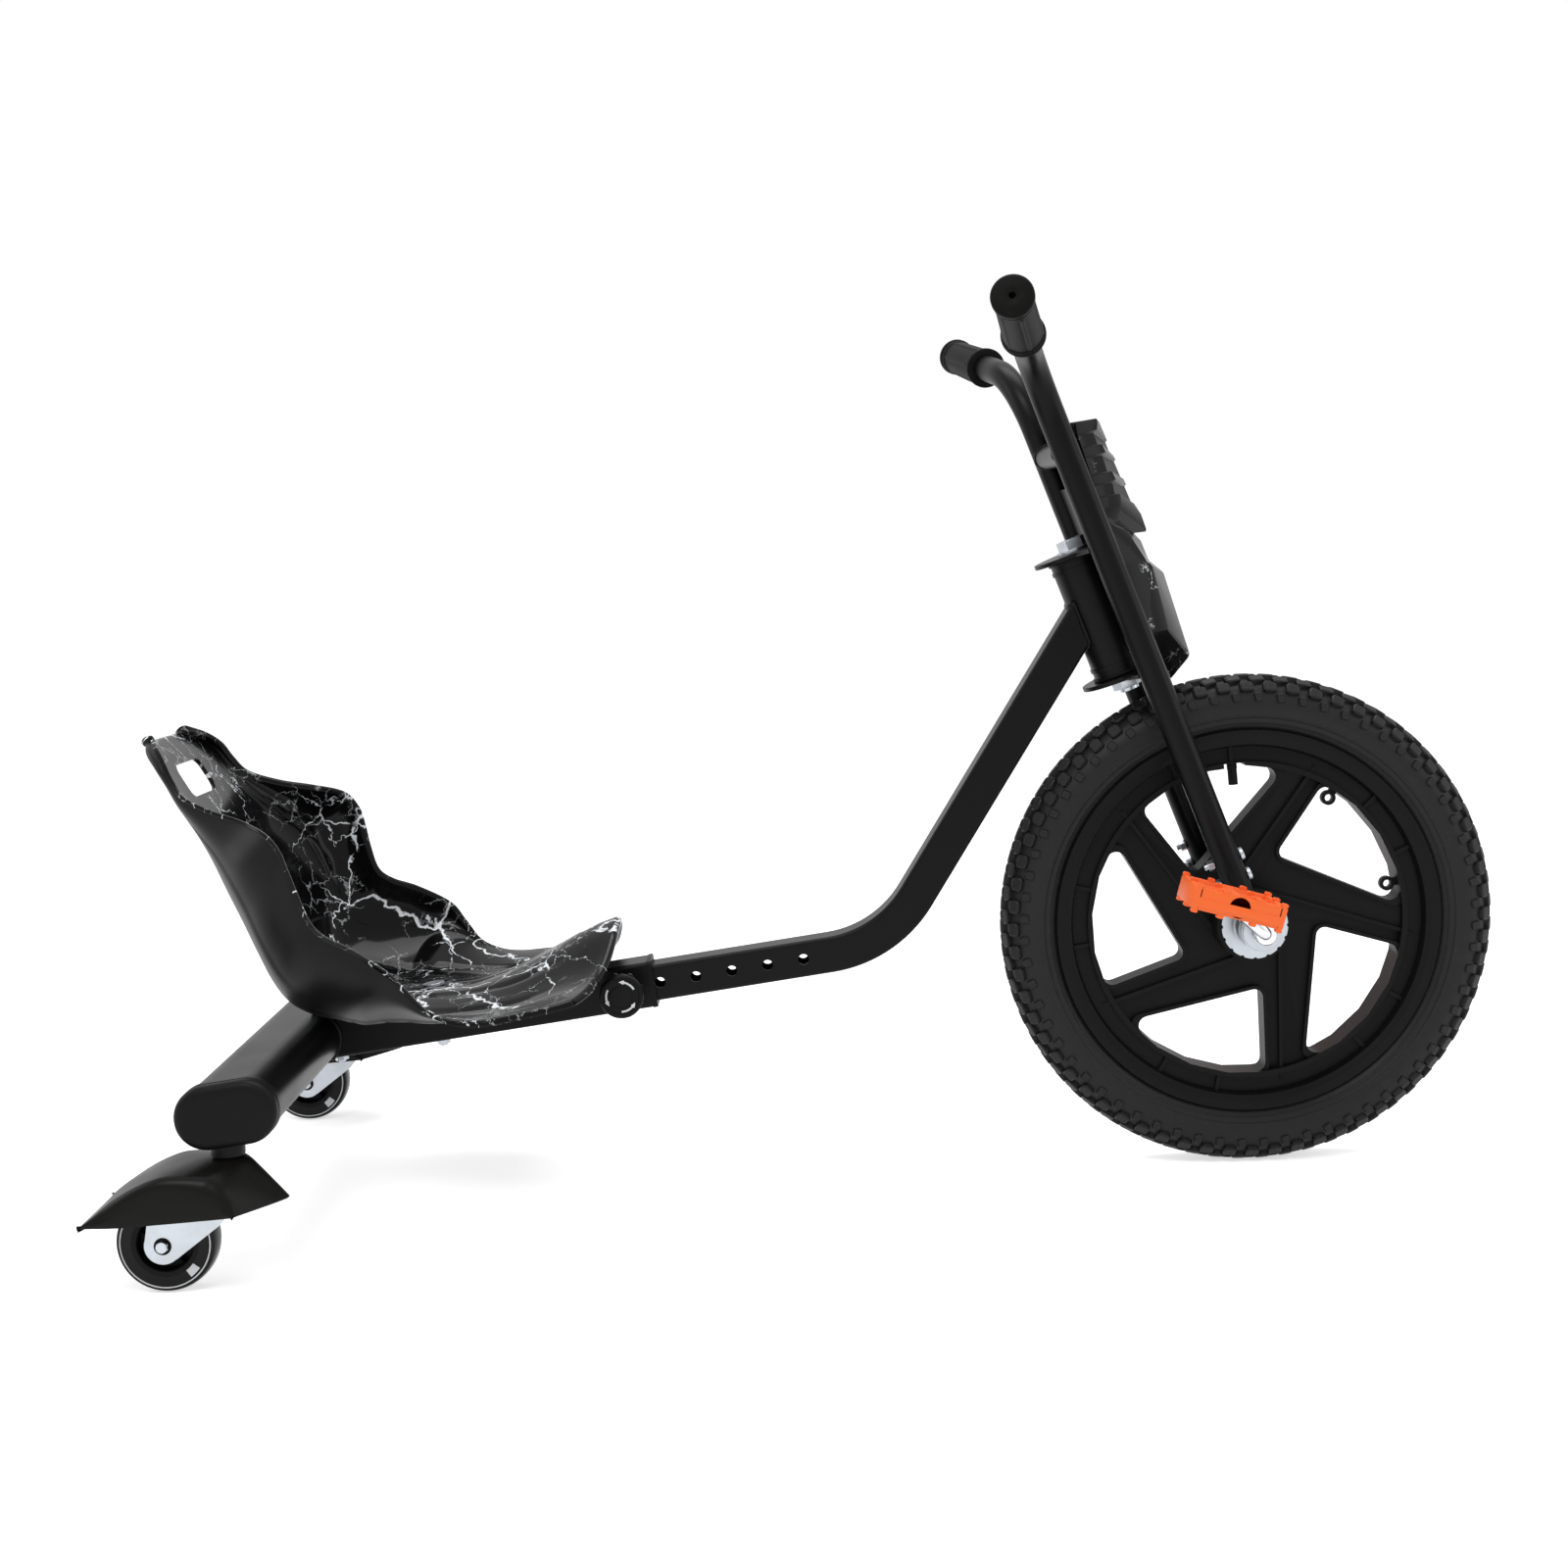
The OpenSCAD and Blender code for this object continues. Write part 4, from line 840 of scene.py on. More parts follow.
def make_grip(side, name):
    """A sleeve turned on the handle's line, with a double flange inside and a groove near its end. Six ridges
    run along its body, where the radius grows with a high power of a cosine of the angle."""
    inner = [(TUBE_R, 0), (16.4, 0), (17.0, 0.7), (17.0, 3.0), (16.4, 3.7), (15.2, 4.1), (15.2, 5.3),
             (16.5, 5.7), (16.5, 7.7), (15.8, 8.4)]
    body = [(15.4 - 1.1 * (h - 9) / 75, h) for h in np.linspace(9, 84, 26)]
    outer = [(14.9, 84.6), (15.3, 85.4), (15.3, 88), (14.9, 88.7), (13.7, 89.1), (13.7, 90.5),
             (15.1, 90.9), (15.8, 91.6), (15.8, 95.4), (15.1, 96.6), (13.4, 97.3), (8, 97.8), (3.0, 98),
             (2.4, 97.4), (2.4, 92), (0.02, 92)]
    start = (LEG_CORNER + HANDLE_DIR * (HANDLE_LEN - GRIP_LEN)) * (1, side, 1)
    direction = HANDLE_DIR * (1, side, 1)
    rings = lathe(inner + body + outer, GRIP_SIDES, start, direction)
    a = np.linspace(0, 2 * math.pi, GRIP_SIDES, endpoint=False)
    ridge = RIDGE * np.cos(3 * a) ** 36
    out = unit(rings - rings.mean(1, keepdims=True))
    on_body = slice(len(inner) + 1, len(inner) + len(body) - 1)
    rings[on_body] += out[on_body] * ridge[None, :, None]
    shape = Shape().grid(steered(rings), close_cols=True)
    bore = lathe([(0.02, 91), (TUBE_R, 91), (TUBE_R, 0)], GRIP_SIDES, start, direction)
    shape.grid(steered(bore), close_cols=True)
    piece("grip_skin_" + name, shape, "fork", "grip_rubber", ("grip_" + name,), smooth=50)


class TRIKE_OT_pedals(bpy.types.Operator):
    """Makes the block pedals and the bent-bar cranks"""
    bl_idname = "trike.pedals"
    bl_label = "Pedals and cranks"

    def execute(self, context):
        for side, name in SIDES:
            make_pedal(side, name)
            make_crank(side, name)
        return {"FINISHED"}


CRANK_TIP = turned((60.0, 0.0, 0.0), ACROSS, -137)
CRANK_Y = 85.0
BAR_R = 5.4
PEDAL_Y = (130.0, 190.0)
PEDAL_TILT = 16.0
PEDAL_HALF = 35.0
PEDAL_T = 18.0
TOOTH_HALF = 2.6
TOOTH_H = 2.2


def round_path(points, r, n):
    """A polyline with each inner corner replaced by n points on an arc of radius r."""
    p = np.asarray(points, float)
    out = [p[:1]]
    for a, b, c in zip(p[:-2], p[1:-1], p[2:]):
        u, w = unit(a - b), unit(c - b)
        half = math.acos(float(u @ w)) / 2
        middle = b + unit(u + w) * r / math.sin(half)
        start, end = b + u * r / math.tan(half), b + w * r / math.tan(half)
        x, y = unit(start - middle), end - middle
        y = unit(y - (y @ x) * x)
        t = np.linspace(0, math.pi - 2 * half, n)[:, None]
        out.append(middle + r * (np.cos(t) * x + np.sin(t) * y))
    out.append(p[-1:])
    return np.vstack(out)


def make_crank(side, name):
    """One round bar, bent from the axle's end out along the arm and out again along the pedal's spindle."""
    tip = CRANK_TIP * -side
    y = ACROSS * side
    path = round_path([y * 70, y * CRANK_Y, tip + y * CRANK_Y, tip + y * (PEDAL_Y[1] - 3)], 8.0, 10)
    normal = np.cross(y, unit(tip))
    shape = Shape()
    shape.solid(sweep(path, BAR_R, 24, up=normal) + FRONT_AXLE)
    ends = [(y * 72, 8.6, 10.0), (tip + y * (PEDAL_Y[0] - 5.5), 7.0, 4.5)]
    for at, r, length in ends:
        profile = [(r - 0.8, 0), (r, 0.8), (r, length - 0.8), (r - 0.8, length)]
        shape.solid(lathe(profile, 32, at + FRONT_AXLE, y))
    piece("crank_bar_" + name, shape, "front_wheel", "steel_crank", ("crank_" + name,), smooth=45)


def bar(shape, low, high, place, r):
    """A rectangular bar with rounded long edges between two corners of the pedal's frame, along y."""
    low, high = np.asarray(low, float), np.asarray(high, float)
    half = (high - low) / 2
    outline = rounded_box(half[0], half[2], min(r, half[0] * 0.9, half[2] * 0.9), 4)
    rings = [np.stack([outline[:, 0] * k, np.full(len(outline), y), outline[:, 1] * k], -1)
             for y, k in ((-half[1], 0.94), (0.6 - half[1], 1.0), (half[1] - 0.6, 1.0), (half[1], 0.94))]
    shape.solid(place(np.array(rings) + (high + low) / 2))


def make_pedal(side, name):
    """A block pedal: end and side walls, a barrel and cross ribs, and teeth along both faces."""
    tip = CRANK_TIP * -side + FRONT_AXLE

    def place(p):
        return turned(p * (1, side, 1), ACROSS, PEDAL_TILT) + tip

    y0, y1 = PEDAL_Y
    h, t, wall = PEDAL_HALF, PEDAL_T / 2, 5.0
    shape = Shape()
    bar(shape, (-h, y0, -t), (-h + wall, y1, t), place, 2.0)
    bar(shape, (h - wall, y0, -t), (h, y1, t), place, 2.0)
    for low, high in ((y0, y0 + wall), (y1 - wall, y1)):
        bar(shape, (-h + 2, low, -t + 0.3), (h - 2, high, t - 0.3), place, 1.6)
        bar(shape, (-h + 3, low - 0.4, -t + 2), (h - 3, high + 0.4, 1.2), place, 0.8)
    for x in (-20.0, 20.0):
        bar(shape, (x - 1.5, y0 + 2, -t + 2.5), (x + 1.5, y1 - 2, t - 2.5), place, 1.0)
    for y in (y0 + 21, y1 - 21):
        bar(shape, (-h + 3, y - 1.5, -t + 2.5), (h - 3, y + 1.5, t - 2.5), place, 1.0)
    reach = y1 - y0
    profile = [(0.1, 0), (8.0, 0), (8.6, 0.6), (8.6, reach - 0.6), (8.0, reach), (0.1, reach)]
    shape.solid(place(lathe(profile, 32, (0, y0, 0), ACROSS)))
    for x in (-h + TOOTH_HALF, -h * 0.36, h * 0.36, h - TOOTH_HALF):
        for z in (-1, 1):
            for low, high in ((y0, y0 + 5), (y0 + 27.5, y0 + 32.5), (y1 - 5, y1)):
                bottom, top = sorted((z * (t - 0.6), z * (t + TOOTH_H)))
                bar(shape, (x - TOOTH_HALF, low, bottom), (x + TOOTH_HALF, high, top), place, 1.3)
    piece("pedal_block_" + name, shape, "pedal_" + name, "pedal_plastic", ("pedal_" + name,))


class TRIKE_OT_fenders(bpy.types.Operator):
    """Makes the fenders over the casters"""
    bl_idname = "trike.fenders"
    bl_label = "Fenders"

    def execute(self, context):
        for side, name in SIDES:
            make_fender(side, name)
        return {"FINISHED"}


# Fender rows from the rear edge to the nose: x and z on the middle line, x and z on the shoulder and z of
# the skirt
FENDER_ROWS = ((-99.6, 59, -99.6, 59, 59), (-90, 67.5, -89, 66.8, 58.9), (-80, 76.4, -77, 75.4, 58.7),
               (-64, 85, -62, 84.6, 58.9), (-46, 92, -47, 90.8, 59.9), (-28, 96, -37, 92.2, 60.4),
               (-15.5, 97.4, -22, 91.1, 61.2), (0, 97.8, -14, 89.2, 61.7), (13, 96.8, -8, 87.1, 62.0),
               (25.6, 84.8, 2, 81.5, 62.6), (42.5, 65.8, 11.6, 63.6, 63.2))
FENDER_HALF = 42.0
FENDER_ROUND = 7.0


def make_fender(side, name):
    """Rows run from skirt to skirt over a crown that falls with the square of the offset. A quarter arc, no
    higher than half the skirt, rounds each shoulder, and the front rows bow forward in the middle."""
    rows = smooth_curve(FENDER_ROWS, 90)
    half = FENDER_HALF - 0.9
    skirt = rows[:, 3] - rows[:, 4]
    r = np.clip(skirt * 0.5, 0.05, FENDER_ROUND)[:, None]
    v = np.linspace(0, 1, 24)[None]
    t = np.linspace(0, math.pi / 2, 9)[None, 1:]
    d = np.linspace(0, 1, 7)[None, 1:]
    y = np.hstack([v * (half - r), half - r + r * np.sin(t), half + 0.8 * np.sin(d * math.pi) + 0 * r])
    w = np.minimum(y / half, 1)
    crown = rows[:, 3, None] + (rows[:, 1] - rows[:, 3])[:, None] * (1 - w ** 2)
    fall = np.hstack([v * 0 * r, r * (1 - np.cos(t)), r + (skirt[:, None] - r) * d])
    z = crown - fall
    x = rows[:, 0, None] + (rows[:, 2] - rows[:, 0])[:, None] * w ** 1.3
    whole = np.concatenate([np.stack([x, -y, z], -1)[:, :0:-1], np.stack([x, y, z], -1)], 1)
    skin = Shape().grid(casted(whole, side))
    piece("fender_skin_" + name, skin, "caster_" + name, "fender_plastic", ("fender_" + name,),
          slot="black_plastic", closed=False, bevel=0.9, wall=2.4, smooth=32)


class TRIKE_OT_casters(bpy.types.Operator):
    """Makes the caster wheels with their treads, ribbed cores, pale inserts and nuts"""
    bl_idname = "trike.casters"
    bl_label = "Caster wheels"

    def execute(self, context):
        for side, name in SIDES:
            make_caster(side, name)
        return {"FINISHED"}


TREAD_HALF = 12.0
RIBS = 7
WINDOWS = (-46, 134)


def wheel_middle(side):
    """The middle of a caster's wheel."""
    return casted((-TRAIL, 0, CASTER_R), side)


def make_caster(side, name):
    """The tread is a round-shouldered band with a thin clear ring and two pale windows on each face; the core
    has a rim, a hub, a web and ribs."""
    at = wheel_middle(side)
    wheel = "caster_wheel_" + name
    a = np.linspace(0, math.pi, 15)
    shoulder = [(34.2 + 2.8 * math.sin(t), -11.2 * math.cos(t)) for t in a]
    near = [(24.2, -TREAD_HALF), (31.6, -TREAD_HALF), (32.0, -11.5), (33.0, -11.5)]
    far = [(r, -h) for r, h in reversed(near)]
    tread = Shape().grid(lathe(near + shoulder + far, 96, at, ACROSS), True, True)
    piece("caster_tread_" + name, tread, wheel, "caster_tread", ("caster_tyre_" + name,))
    core = Shape()
    rim = [(21.0, -12.0), (24.3, -12.0), (24.3, 12.0), (21.0, 12.0), (20.3, 11.3), (20.3, -11.3)]
    hub = [(4.1, -14.6), (8.4, -14.6), (9.4, -13.8), (10.2, -10.5), (10.2, 10.5), (9.4, 13.8), (8.4, 14.6),
           (4.1, 14.6)]
    web = [(9, -2.5), (22, -2.5), (22, 2.5), (9, 2.5)]
    for profile, sides in ((rim, 72), (hub, 48), (web, 72)):
        core.grid(lathe(profile, sides, at, ACROSS), True, True)
    for k in range(RIBS):
        t = 2 * math.pi * k / RIBS
        out = np.array([math.cos(t), 0.0, math.sin(t)])
        path = at + out * np.linspace(8, 22, 4)[:, None]
        local = sweep(path, 1.0, 12, up=ACROSS) - path[:, None]
        core.solid(path[:, None] + local * (1.5, 9.4, 1.5))
    piece("caster_hub_" + name, core, wheel, "black_plastic", ("caster_core_" + name,))
    insert = Shape()
    for face in (-1, 1):
        ring = [(31.9, 11.0), (32.2, 12.1), (32.9, 12.1), (33.3, 11.0)]
        insert.grid(lathe([(r, h * face) for r, h in ring], 96, at, ACROSS), True, True)
        for turn in WINDOWS:
            t = math.radians(turn) + np.linspace(-0.15, 0.15, 7)
            r = np.array([24.6, 30.6])[:, None]
            low = np.stack([r * np.cos(t), np.full((2, 7), face * 11.0), r * np.sin(t)], -1)
            high = low + ACROSS * face * 1.1
            insert.solid(np.stack([np.vstack([k[0], k[1, ::-1]]) for k in (low, high)]) + at)
    piece("caster_inserts_" + name, insert, wheel, "clear_insert", slot="black_plastic")
    make_wheel_nut(side, name)


def make_wheel_nut(side, name):
    """The wheel bolt with a small hexagon nut and head, each in the middle of a dark countersunk ring."""
    at = wheel_middle(side)
    out = ACROSS * side
    bolt = Shape().solid(lathe([(4.0, -21.4), (4.0, 21.4)], 32, at, out))
    seat = Shape()
    for face in (-1, 1):
        reach = FORK_OUT * face
        ring = [(3.9, reach), (6.4, reach), (6.4, reach + 0.25 * face), (3.9, reach + 0.1 * face)]
        seat.grid(lathe(ring, 48, at, out), True, True)
        hexagon = [(4.1, 0), (4.7, 0.4), (4.7, 2.2), (4.0, 2.9), (2.1, 3.0), (1.9, 1.9), (0.05, 1.8)]
        bolt.grid(lathe([(r, reach + h * face) for r, h in hexagon], 6, at, out), close_cols=True)
    piece("wheel_nut_" + name, bolt, "caster_" + name, "zinc", ("wheel_bolt_" + name,), smooth=30)
    piece("wheel_seat_" + name, seat, "caster_" + name, "black_plastic", smooth=30)


class TRIKE_OT_frame_trim(bpy.types.Operator):
    """Makes the beam's end caps, the lock knob and the weld beads"""
    bl_idname = "trike.frame_trim"
    bl_label = "Frame trim"

    def execute(self, context):
        for side, name in SIDES:
            make_beam_cap(side, name)
        make_knob()
        make_welds()
        return {"FINISHED"}


BEAM_S = -273.0
BEAM_FLAT = 28.0
BEAM_R = 21.5


def stadium(flat, r, n=24):
    """Outline of a flat oval: two half circles of radius r whose middles are flat apart."""
    t = np.linspace(-math.pi / 2, math.pi / 2, n)
    right = np.stack([flat / 2 + r * np.cos(t), r * np.sin(t)], -1)
    return np.vstack([right, -right])


def make_beam_cap(side, name):
    """A moulded cap: a collar, a groove and a rounded face with a low dome, as rings of the beam's oval."""
    rings = ((240.6, 0.4), (240.6, 1.7), (241.2, 2.1), (246.4, 2.1), (247.2, 1.3), (248.2, 1.3),
             (249.0, 2.1), (253.5, 2.1), (256.4, 1.2), (258.0, -0.8), (258.7, -3.2), (258.9, -8.0),
             (259.0, -14.0), (259.0, -20.9))
    shape = []
    for y, grow in rings:
        flat = stadium(BEAM_FLAT * (1 if grow > -15 else 0.8), BEAM_R + grow)
        shape.append(np.stack([flat[:, 0] + BEAM_S, np.full(len(flat), side * y), flat[:, 1]], -1))
    cap = Shape().solid(railed(np.array(shape)))
    piece("beam_cap_skin_" + name, cap, "rear_frame", "black_plastic", ("beam_cap_" + name,), smooth=35)


KNOB_LOW = 39.3
KNOB_H = 12.0
KNOB_R = 18.0
LOBES = 8
ARROWS = 3
ARROW_R = 12.1
ARROW_TURN = 66.0


def knobbed(points):
    """From the lock's frame (z out to the right side) to the trike's frame."""
    p = np.asarray(points, float)
    return railed(np.stack([p[..., 0], -p[..., 2], p[..., 1]], -1))


def make_knob():
    """A turned knob with a dished face, lobes behind its rim, and three raised arrows that show the turn."""
    low, top = KNOB_LOW, KNOB_LOW + KNOB_H
    profile = [(4.1, low), (13, low), (13.6, low + 0.6), (14.2, low + 4), (KNOB_R - 1.2, low + 4.4),
               (KNOB_R, low + 5.6), (KNOB_R, top - 2.0), (KNOB_R - 0.7, top - 0.7), (KNOB_R - 2.2, top),
               (KNOB_R - 3.2, top), (KNOB_R - 3.8, top - 0.7), (9.4, top - 0.9), (8.8, top - 0.3),
               (6.5, top - 0.1), (0.05, top)]
    shape = Shape().grid(knobbed(lathe(profile, 72)), close_cols=True)
    shape.grid(knobbed(lathe([(0.05, low + 11), (4.1, low + 7), (4.1, low)], 72)), close_cols=True)
    for k in range(LOBES):
        t = 2 * math.pi * k / LOBES + 0.2
        at = (15.8 * math.cos(t), 15.8 * math.sin(t), low + 0.4)
        shape.solid(knobbed(lathe([(2.6, 0), (3.1, 0.5), (3.1, 5.4)], 16, at)))
    piece("lock_knob_skin", shape, "lock_knob", "black_plastic", ("lock_knob",))
    arrows = Shape()
    for k in range(ARROWS):
        share = np.linspace(0, 1, 20)
        t = share * math.radians(ARROW_TURN) + k * 2 * math.pi / ARROWS + 0.4
        width = np.where(share < 0.72, 0.75, share * -6.4 + 6.5).clip(0.05)
        rows = []
        for way, z in ((-1, top - 1.2), (1, top - 1.2), (1, top - 0.3), (-1, top - 0.3)):
            r = ARROW_R + way * width
            rows.append(np.stack([r * np.cos(t), r * np.sin(t), z + 0 * t], -1))
        arrows.solid(knobbed(np.stack(rows, 1)))
    piece("knob_arrows", arrows, "lock_knob", "white_print", slot="black_plastic")


def ripple(r, turns):
    """A bead's radius along its length, which rises and falls over the given angles."""
    return r * (1 + 0.14 * np.sin(turns))


def weld(shape, path, up, r):
    """A weld bead: a closed tube along the joint whose radius ripples like stacked coins."""
    n = len(path)
    wave = ripple(r, np.arange(n) * 2 * math.pi * (n // 7) / n + 1.0)
    shape.grid(sweep(path, wave, 10, up=up, close=True), True, True)


def on_cylinder(points, direction, origin, axis, r):
    """Where lines from the points along a direction first meet a cylinder, as the quadratic's near root."""
    p = np.asarray(points, float) - origin
    d, a = unit(direction), unit(axis)
    pd, dd = p - (p @ a)[:, None] * a, d - (d @ a) * a
    b, c, k = pd @ dd, (pd ** 2).sum(1) - r * r, dd @ dd
    t = (-b - np.sqrt(np.maximum(b * b - k * c, 0))) / k
    return points + t[:, None] * d


PLATE_FACES = (62.0, 65.5, -45.2, -41.7)


def make_welds():
    """Beads where the main tube meets the head tube, the crown plates and cross tube meet the legs, and
    the rear tube and the posts meet the beam."""
    front = Shape()
    axis = steered(UP) - HEAD
    corner = RAIL + np.array([218.0, 0, 27.5])
    top = HEAD + np.array([-8.2, 0, 22.0])
    d = unit(top - corner)
    flat = smooth_curve(rounded_box(15, 15, 3, 5), 150, close=True)
    start = corner + flat[:, :1] * ACROSS + flat[:, 1:] * np.cross(d, ACROSS)
    weld(front, on_cylinder(start, d, HEAD, axis, HEAD_R), d, 2.2)
    piece("front_welds", front, "front_frame", "frame_paint", smooth=60)
    fork = Shape()
    c, s = ring_points(70)
    for y in (-1, 1):
        ring = np.stack([LEG_X + CROSS_R * c, np.zeros_like(c), CROSS_Z + CROSS_R * s], -1)
        joint = on_cylinder(ring, ACROSS * y, np.array([LEG_X, y * LEG_Y, 0.0]), UP, LEG_R)
        weld(fork, steered(joint), steered(ACROSS * y) - HEAD, 1.5)
        for z in PLATE_FACES:
            t = np.linspace(math.radians(-150), math.radians(-30), 30) * y
            arc = np.stack([LEG_X + LEG_R * np.cos(t), y * LEG_Y + LEG_R * np.sin(t), np.full_like(t, z)], -1)
            fork.solid(sweep(steered(arc), ripple(1.3, np.arange(30) * 1.9), 8, up=axis))
    piece("fork_welds", fork, "fork", "frame_paint", smooth=60)
    rear = Shape()
    flat = smooth_curve(rounded_box(19, 19, 3, 5), 170, close=True)
    reach = BEAM_FLAT / 2 + np.sqrt(np.maximum(BEAM_R ** 2 - flat[:, 1] ** 2, 0))
    joint = np.stack([BEAM_S + reach, flat[:, 0], flat[:, 1]], -1)
    weld(rear, railed(joint), railed((1.0, 0, 0)) - RAIL, 2.2)
    c, s = ring_points(72)
    for y in (-1, 1):
        x = SWIVEL_X + POST_R * c
        s_rail = (x - RAIL[0]) / math.cos(SLOPE)
        over = np.abs(s_rail - BEAM_S) - BEAM_FLAT / 2
        depth = np.sqrt(np.maximum(BEAM_R ** 2 - np.maximum(over, 0) ** 2, 0))
        centre = RAIL[2] + s_rail * math.sin(SLOPE)
        post = np.stack([x, y * SWIVEL_Y + POST_R * s, centre - depth], -1)
        weld(rear, post, UP, 1.4)
    piece("rear_welds", rear, "rear_frame", "frame_paint", smooth=60)


# Front panel, from the top's back edge down to the lower tip. Each row holds the distance before the
# steering axis and the height along it, for the middle line, the ridge and the side, and a groove's depth
PANEL_ROWS = (
    (24, 163.6, 24, 163.6, 24, 162.5, 0), (55.6, 156.4, 49, 157.6, 29.4, 161, 0),
    (56.4, 154, 49.2, 155.4, 29.6, 159.6, 0), (56.6, 138, 46.4, 149.4, 28, 152, 0),
    (56.6, 136.8, 46.3, 148.2, 28, 151, 5), (56.6, 126.2, 46, 138.2, 27.5, 141, 5),
    (56.8, 125, 46, 137, 27.5, 140, 0), (57.4, 121, 46.2, 130.2, 27, 133, 0),
    (57.4, 119.8, 46.2, 129, 27, 132, 5), (57.8, 105.2, 45.4, 115.4, 26.4, 118, 5),
    (57.8, 104, 45.4, 114.2, 26.4, 117, 0), (58, 99.2, 45.8, 107.2, 25.8, 110, 0),
    (58, 98, 45.8, 106, 25.8, 109, 5), (58.4, 83.6, 44.6, 96.6, 25, 100, 5),
    (58.4, 82.4, 44.4, 95.4, 24.9, 99, 0), (60.6, 72, 43, 90.8, 24.4, 96, 0),
    (60.2, 59.6, 41, 87, 24, 93, 0), (59.2, 57.4, 39.6, 85, 24, 91, 0),
    (49.6, 60, 33.4, 76, 23.8, 85.4, 0), (50.4, 57.6, 34.4, 73.6, 23.8, 83.6, 0),
    (52.5, 52.4, 39.4, 66, 24, 78, 0), (52.6, 38, 44.4, 41, 24.2, 46, 0),
    (52.9, 34.6, 44.9, 36.8, 24.2, 42, 0), (59.4, 22.8, 46.8, 34.8, 24.2, 40, 0),
    (60.2, 20.2, 47.4, 32.4, 24.2, 38, 0), (56, -48.6, 41.2, -17, 24.2, -13, 0),
    (54.6, -51, 40, -19.4, 23.6, -15, 0), (34.5, -62, 24.2, -27, 20, -20, 0))
# Distances across the panel from side to side, and the share of a groove's depth that each is sunk by
PANEL_Y = np.array([-55.0, -38.0, -35.4, 0.0, 35.4, 38.0, 55.0])
PANEL_RIDGE = 38.0
PANEL_SUNK = np.array([0.0, 0.7, 0.8, 0.35, 0.8, 0.7, 0.0])


class TRIKE_OT_front_panel(bpy.types.Operator):
    """Makes the ribbed shell in front of the fork"""
    bl_idname = "trike.front_panel"
    bl_label = "Front panel"

    def execute(self, context):
        make_panel()
        return {"FINISHED"}


def make_panel():
    """Straight lines run from the side to the ridge and from the ridge to the middle in each row. Three wide
    chevron slots are sunk from ridge to ridge, with narrow ribs between them."""
    rows = np.array(PANEL_ROWS, float)
    front = np.minimum(np.abs(PANEL_Y) / PANEL_RIDGE, 1.0)
    f = rows[:, 0, None] * (1 - front) + rows[:, 2, None] * front
    s = rows[:, 1, None] * (1 - front) + rows[:, 3, None] * front
    f[:, [0, -1]] = rows[:, 4, None]
    s[:, [0, -1]] = rows[:, 5, None]
    f -= rows[:, 6, None] * PANEL_SUNK
    skin = Shape().grid(steered(np.stack([f, np.broadcast_to(PANEL_Y, f.shape), s], -1)))
    obj = piece("panel_skin", skin, "fork", "panel_plastic", ("front_panel",), closed=False, bevel=0.9,
                wall=2.6, smooth=24)
    obj.data.materials.append(MATERIALS["black_plastic"])
    # The faces sunk in the slots take the plain black plastic, without the panel's pale veins and coat, so
    # the slots show dark and plain.
    sunk = (rows[:-1, 6] > 0) & (rows[1:, 6] > 0)
    for face in obj.data.polygons:
        row, column = divmod(face.index, len(PANEL_Y) - 1)
        face.material_index = int(sunk[row] and 0 < column < 5)
    lug = Shape()
    outline = rounded_box(9.5, 7.0, 2.0, 4)
    for sign in (1, -1):
        rings = [np.stack([np.full(len(outline), f0), sign * 36 + outline[:, 0] * grow,
                           -13 + outline[:, 1] * grow], -1)
                 for f0, grow in ((23.0, 1.0), (30.5, 1.0), (32.0, 0.86))]
        lug.solid(steered(np.array(rings)))
    piece("panel_lugs", lug, "fork", "black_plastic", slot="panel_plastic", smooth=30)


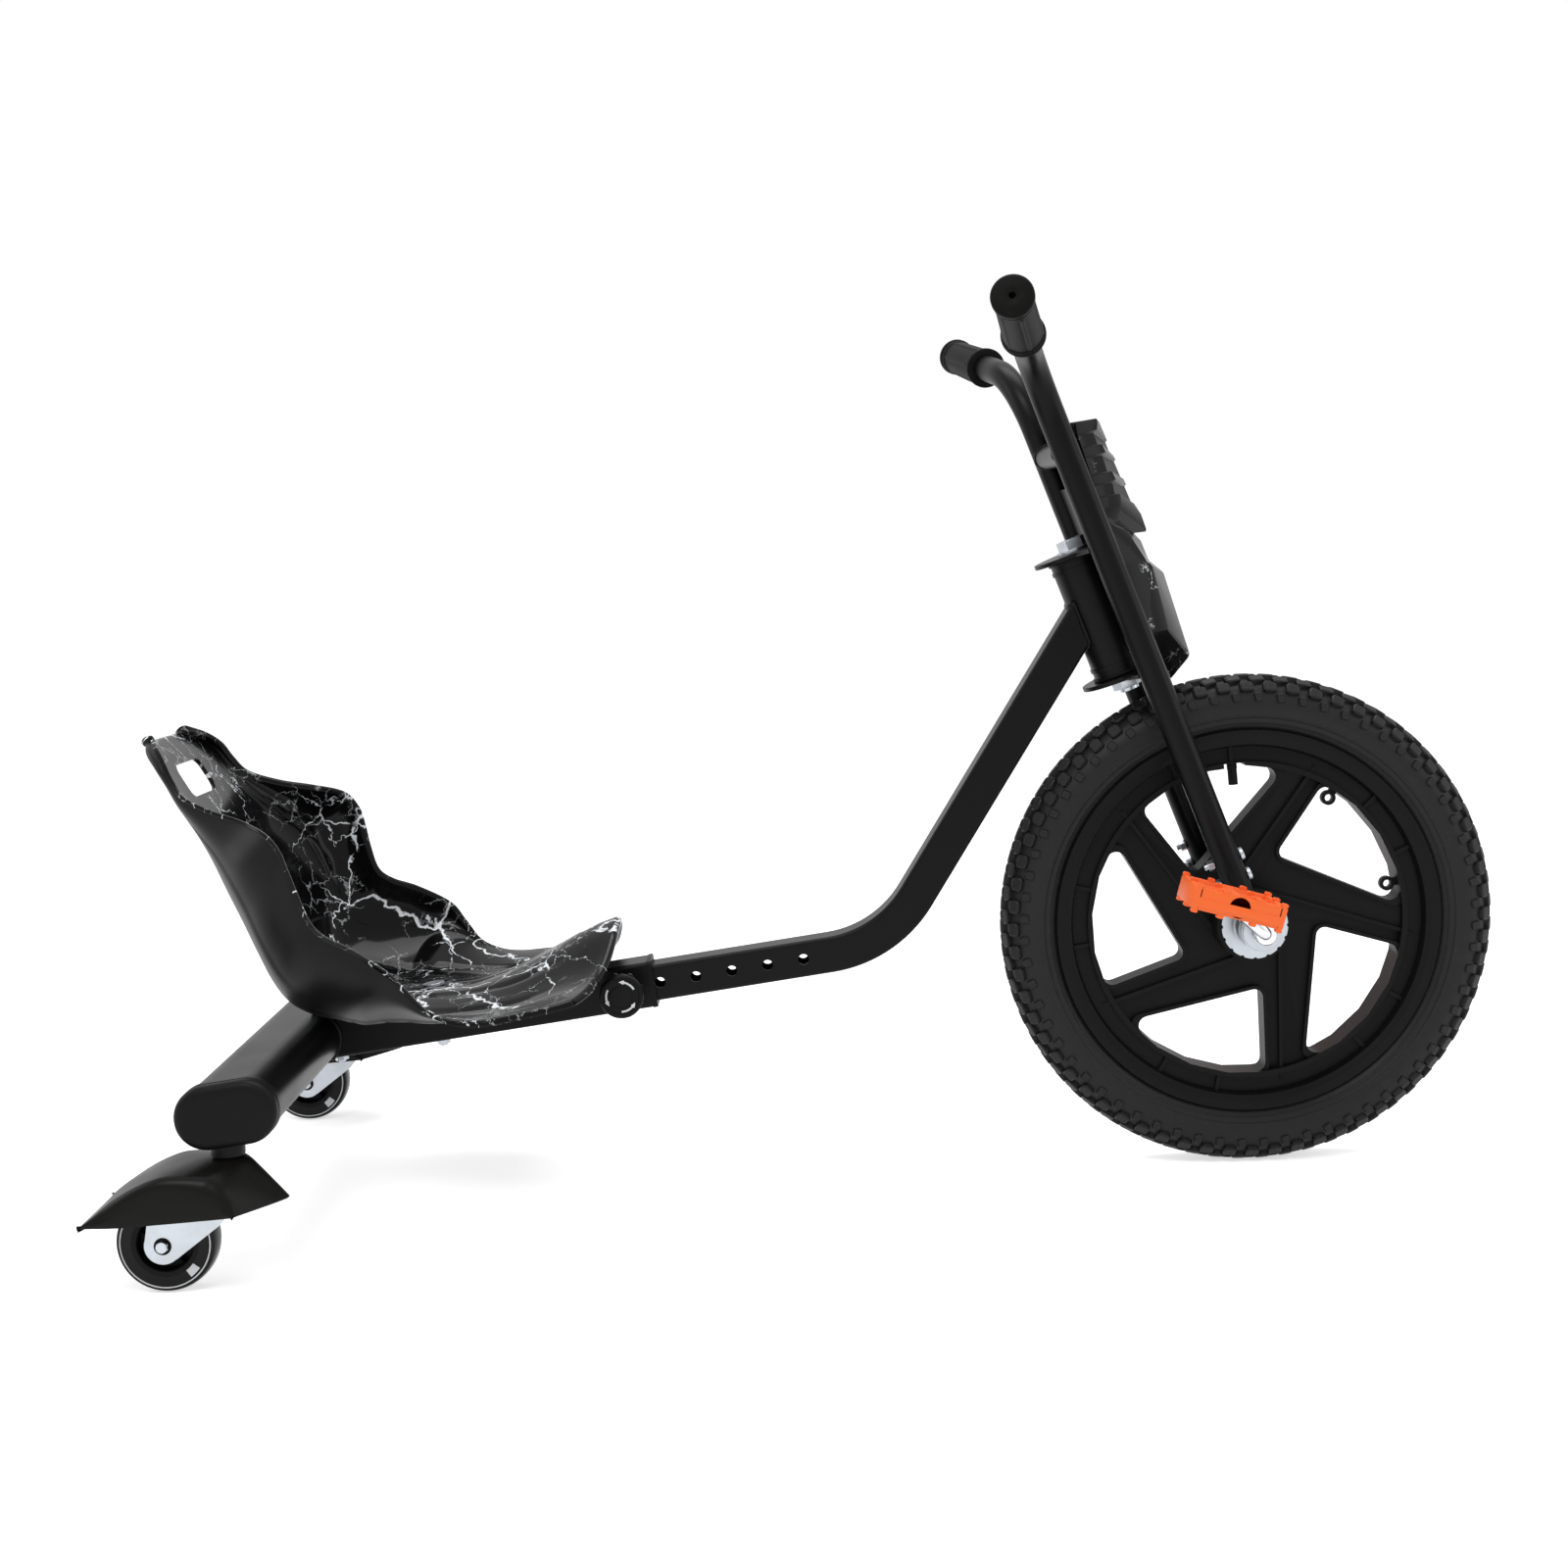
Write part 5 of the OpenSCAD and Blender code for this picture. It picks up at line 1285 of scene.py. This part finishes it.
# CAD pieces whose edges are only rounded: node, edge radius
ROUNDED_NODES = (
    ("rim", 0.7), ("top_plate", 0.8), ("bottom_plate", 0.8), ("steering_nut", 0.5), ("steering_pin", 0.5),
    ("seat_bolts", 0.5), ("bracket_bolts", 0.4), ("axle_bracket_left", 0.7), ("axle_bracket_right", 0.7),
    ("hub_plates", 0.4), ("caster_fork_left", 0.6), ("caster_fork_right", 0.6), ("swivel_bolt_left", 0.5),
    ("swivel_bolt_right", 0.5), ("tube_collar", 0.7),
    ("lock_bush", 0.6), ("head_bushes", 0.6), ("axle_bearings", 0.4), ("seat_spacer", 0.8))


class TRIKE_OT_edges(bpy.types.Operator):
    """Rounds the edges of the turned, cut and moulded pieces that keep the CAD shape"""
    bl_idname = "trike.edges"
    bl_label = "Rounded edges"

    def execute(self, context):
        for node, radius in ROUNDED_NODES:
            softened(node, radius)
        return {"FINISHED"}


class TRIKE_PT_panel(bpy.types.Panel):
    """Lists the trike's colours, tread knobs and light, and the pieces that can be made"""
    bl_label = "Drift trike"
    bl_idname = "TRIKE_PT_panel"
    bl_space_type = "VIEW_3D"
    bl_region_type = "UI"
    bl_category = "Trike"

    def draw(self, context):
        for name in TrikeLook.__annotations__:
            self.layout.prop(context.scene.trike_look, name)
        for operator in OPERATORS:
            self.layout.operator(operator.bl_idname)


OPERATORS = (TRIKE_OT_finishes, TRIKE_OT_edges, TRIKE_OT_seat, TRIKE_OT_tyre, TRIKE_OT_grips,
             TRIKE_OT_front_panel, TRIKE_OT_pedals, TRIKE_OT_fenders, TRIKE_OT_casters, TRIKE_OT_frame_trim,
             TRIKE_OT_stage)
CLASSES = (TrikeLook,) + OPERATORS + (TRIKE_PT_panel,)


def register():
    for cls in CLASSES:
        bpy.utils.register_class(cls)
    bpy.types.Scene.trike_look = PointerProperty(type=TrikeLook)


def unregister():
    del bpy.types.Scene.trike_look
    for cls in reversed(CLASSES):
        bpy.utils.unregister_class(cls)


def main():
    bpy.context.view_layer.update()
    register()
    bpy.ops.trike.finishes()
    bpy.ops.trike.edges()
    bpy.ops.trike.seat()
    bpy.ops.trike.tyre()
    bpy.ops.trike.grips()
    bpy.ops.trike.front_panel()
    bpy.ops.trike.pedals()
    bpy.ops.trike.fenders()
    bpy.ops.trike.casters()
    bpy.ops.trike.frame_trim()
    bpy.ops.trike.stage()


if __name__ == "__main__":
    main()
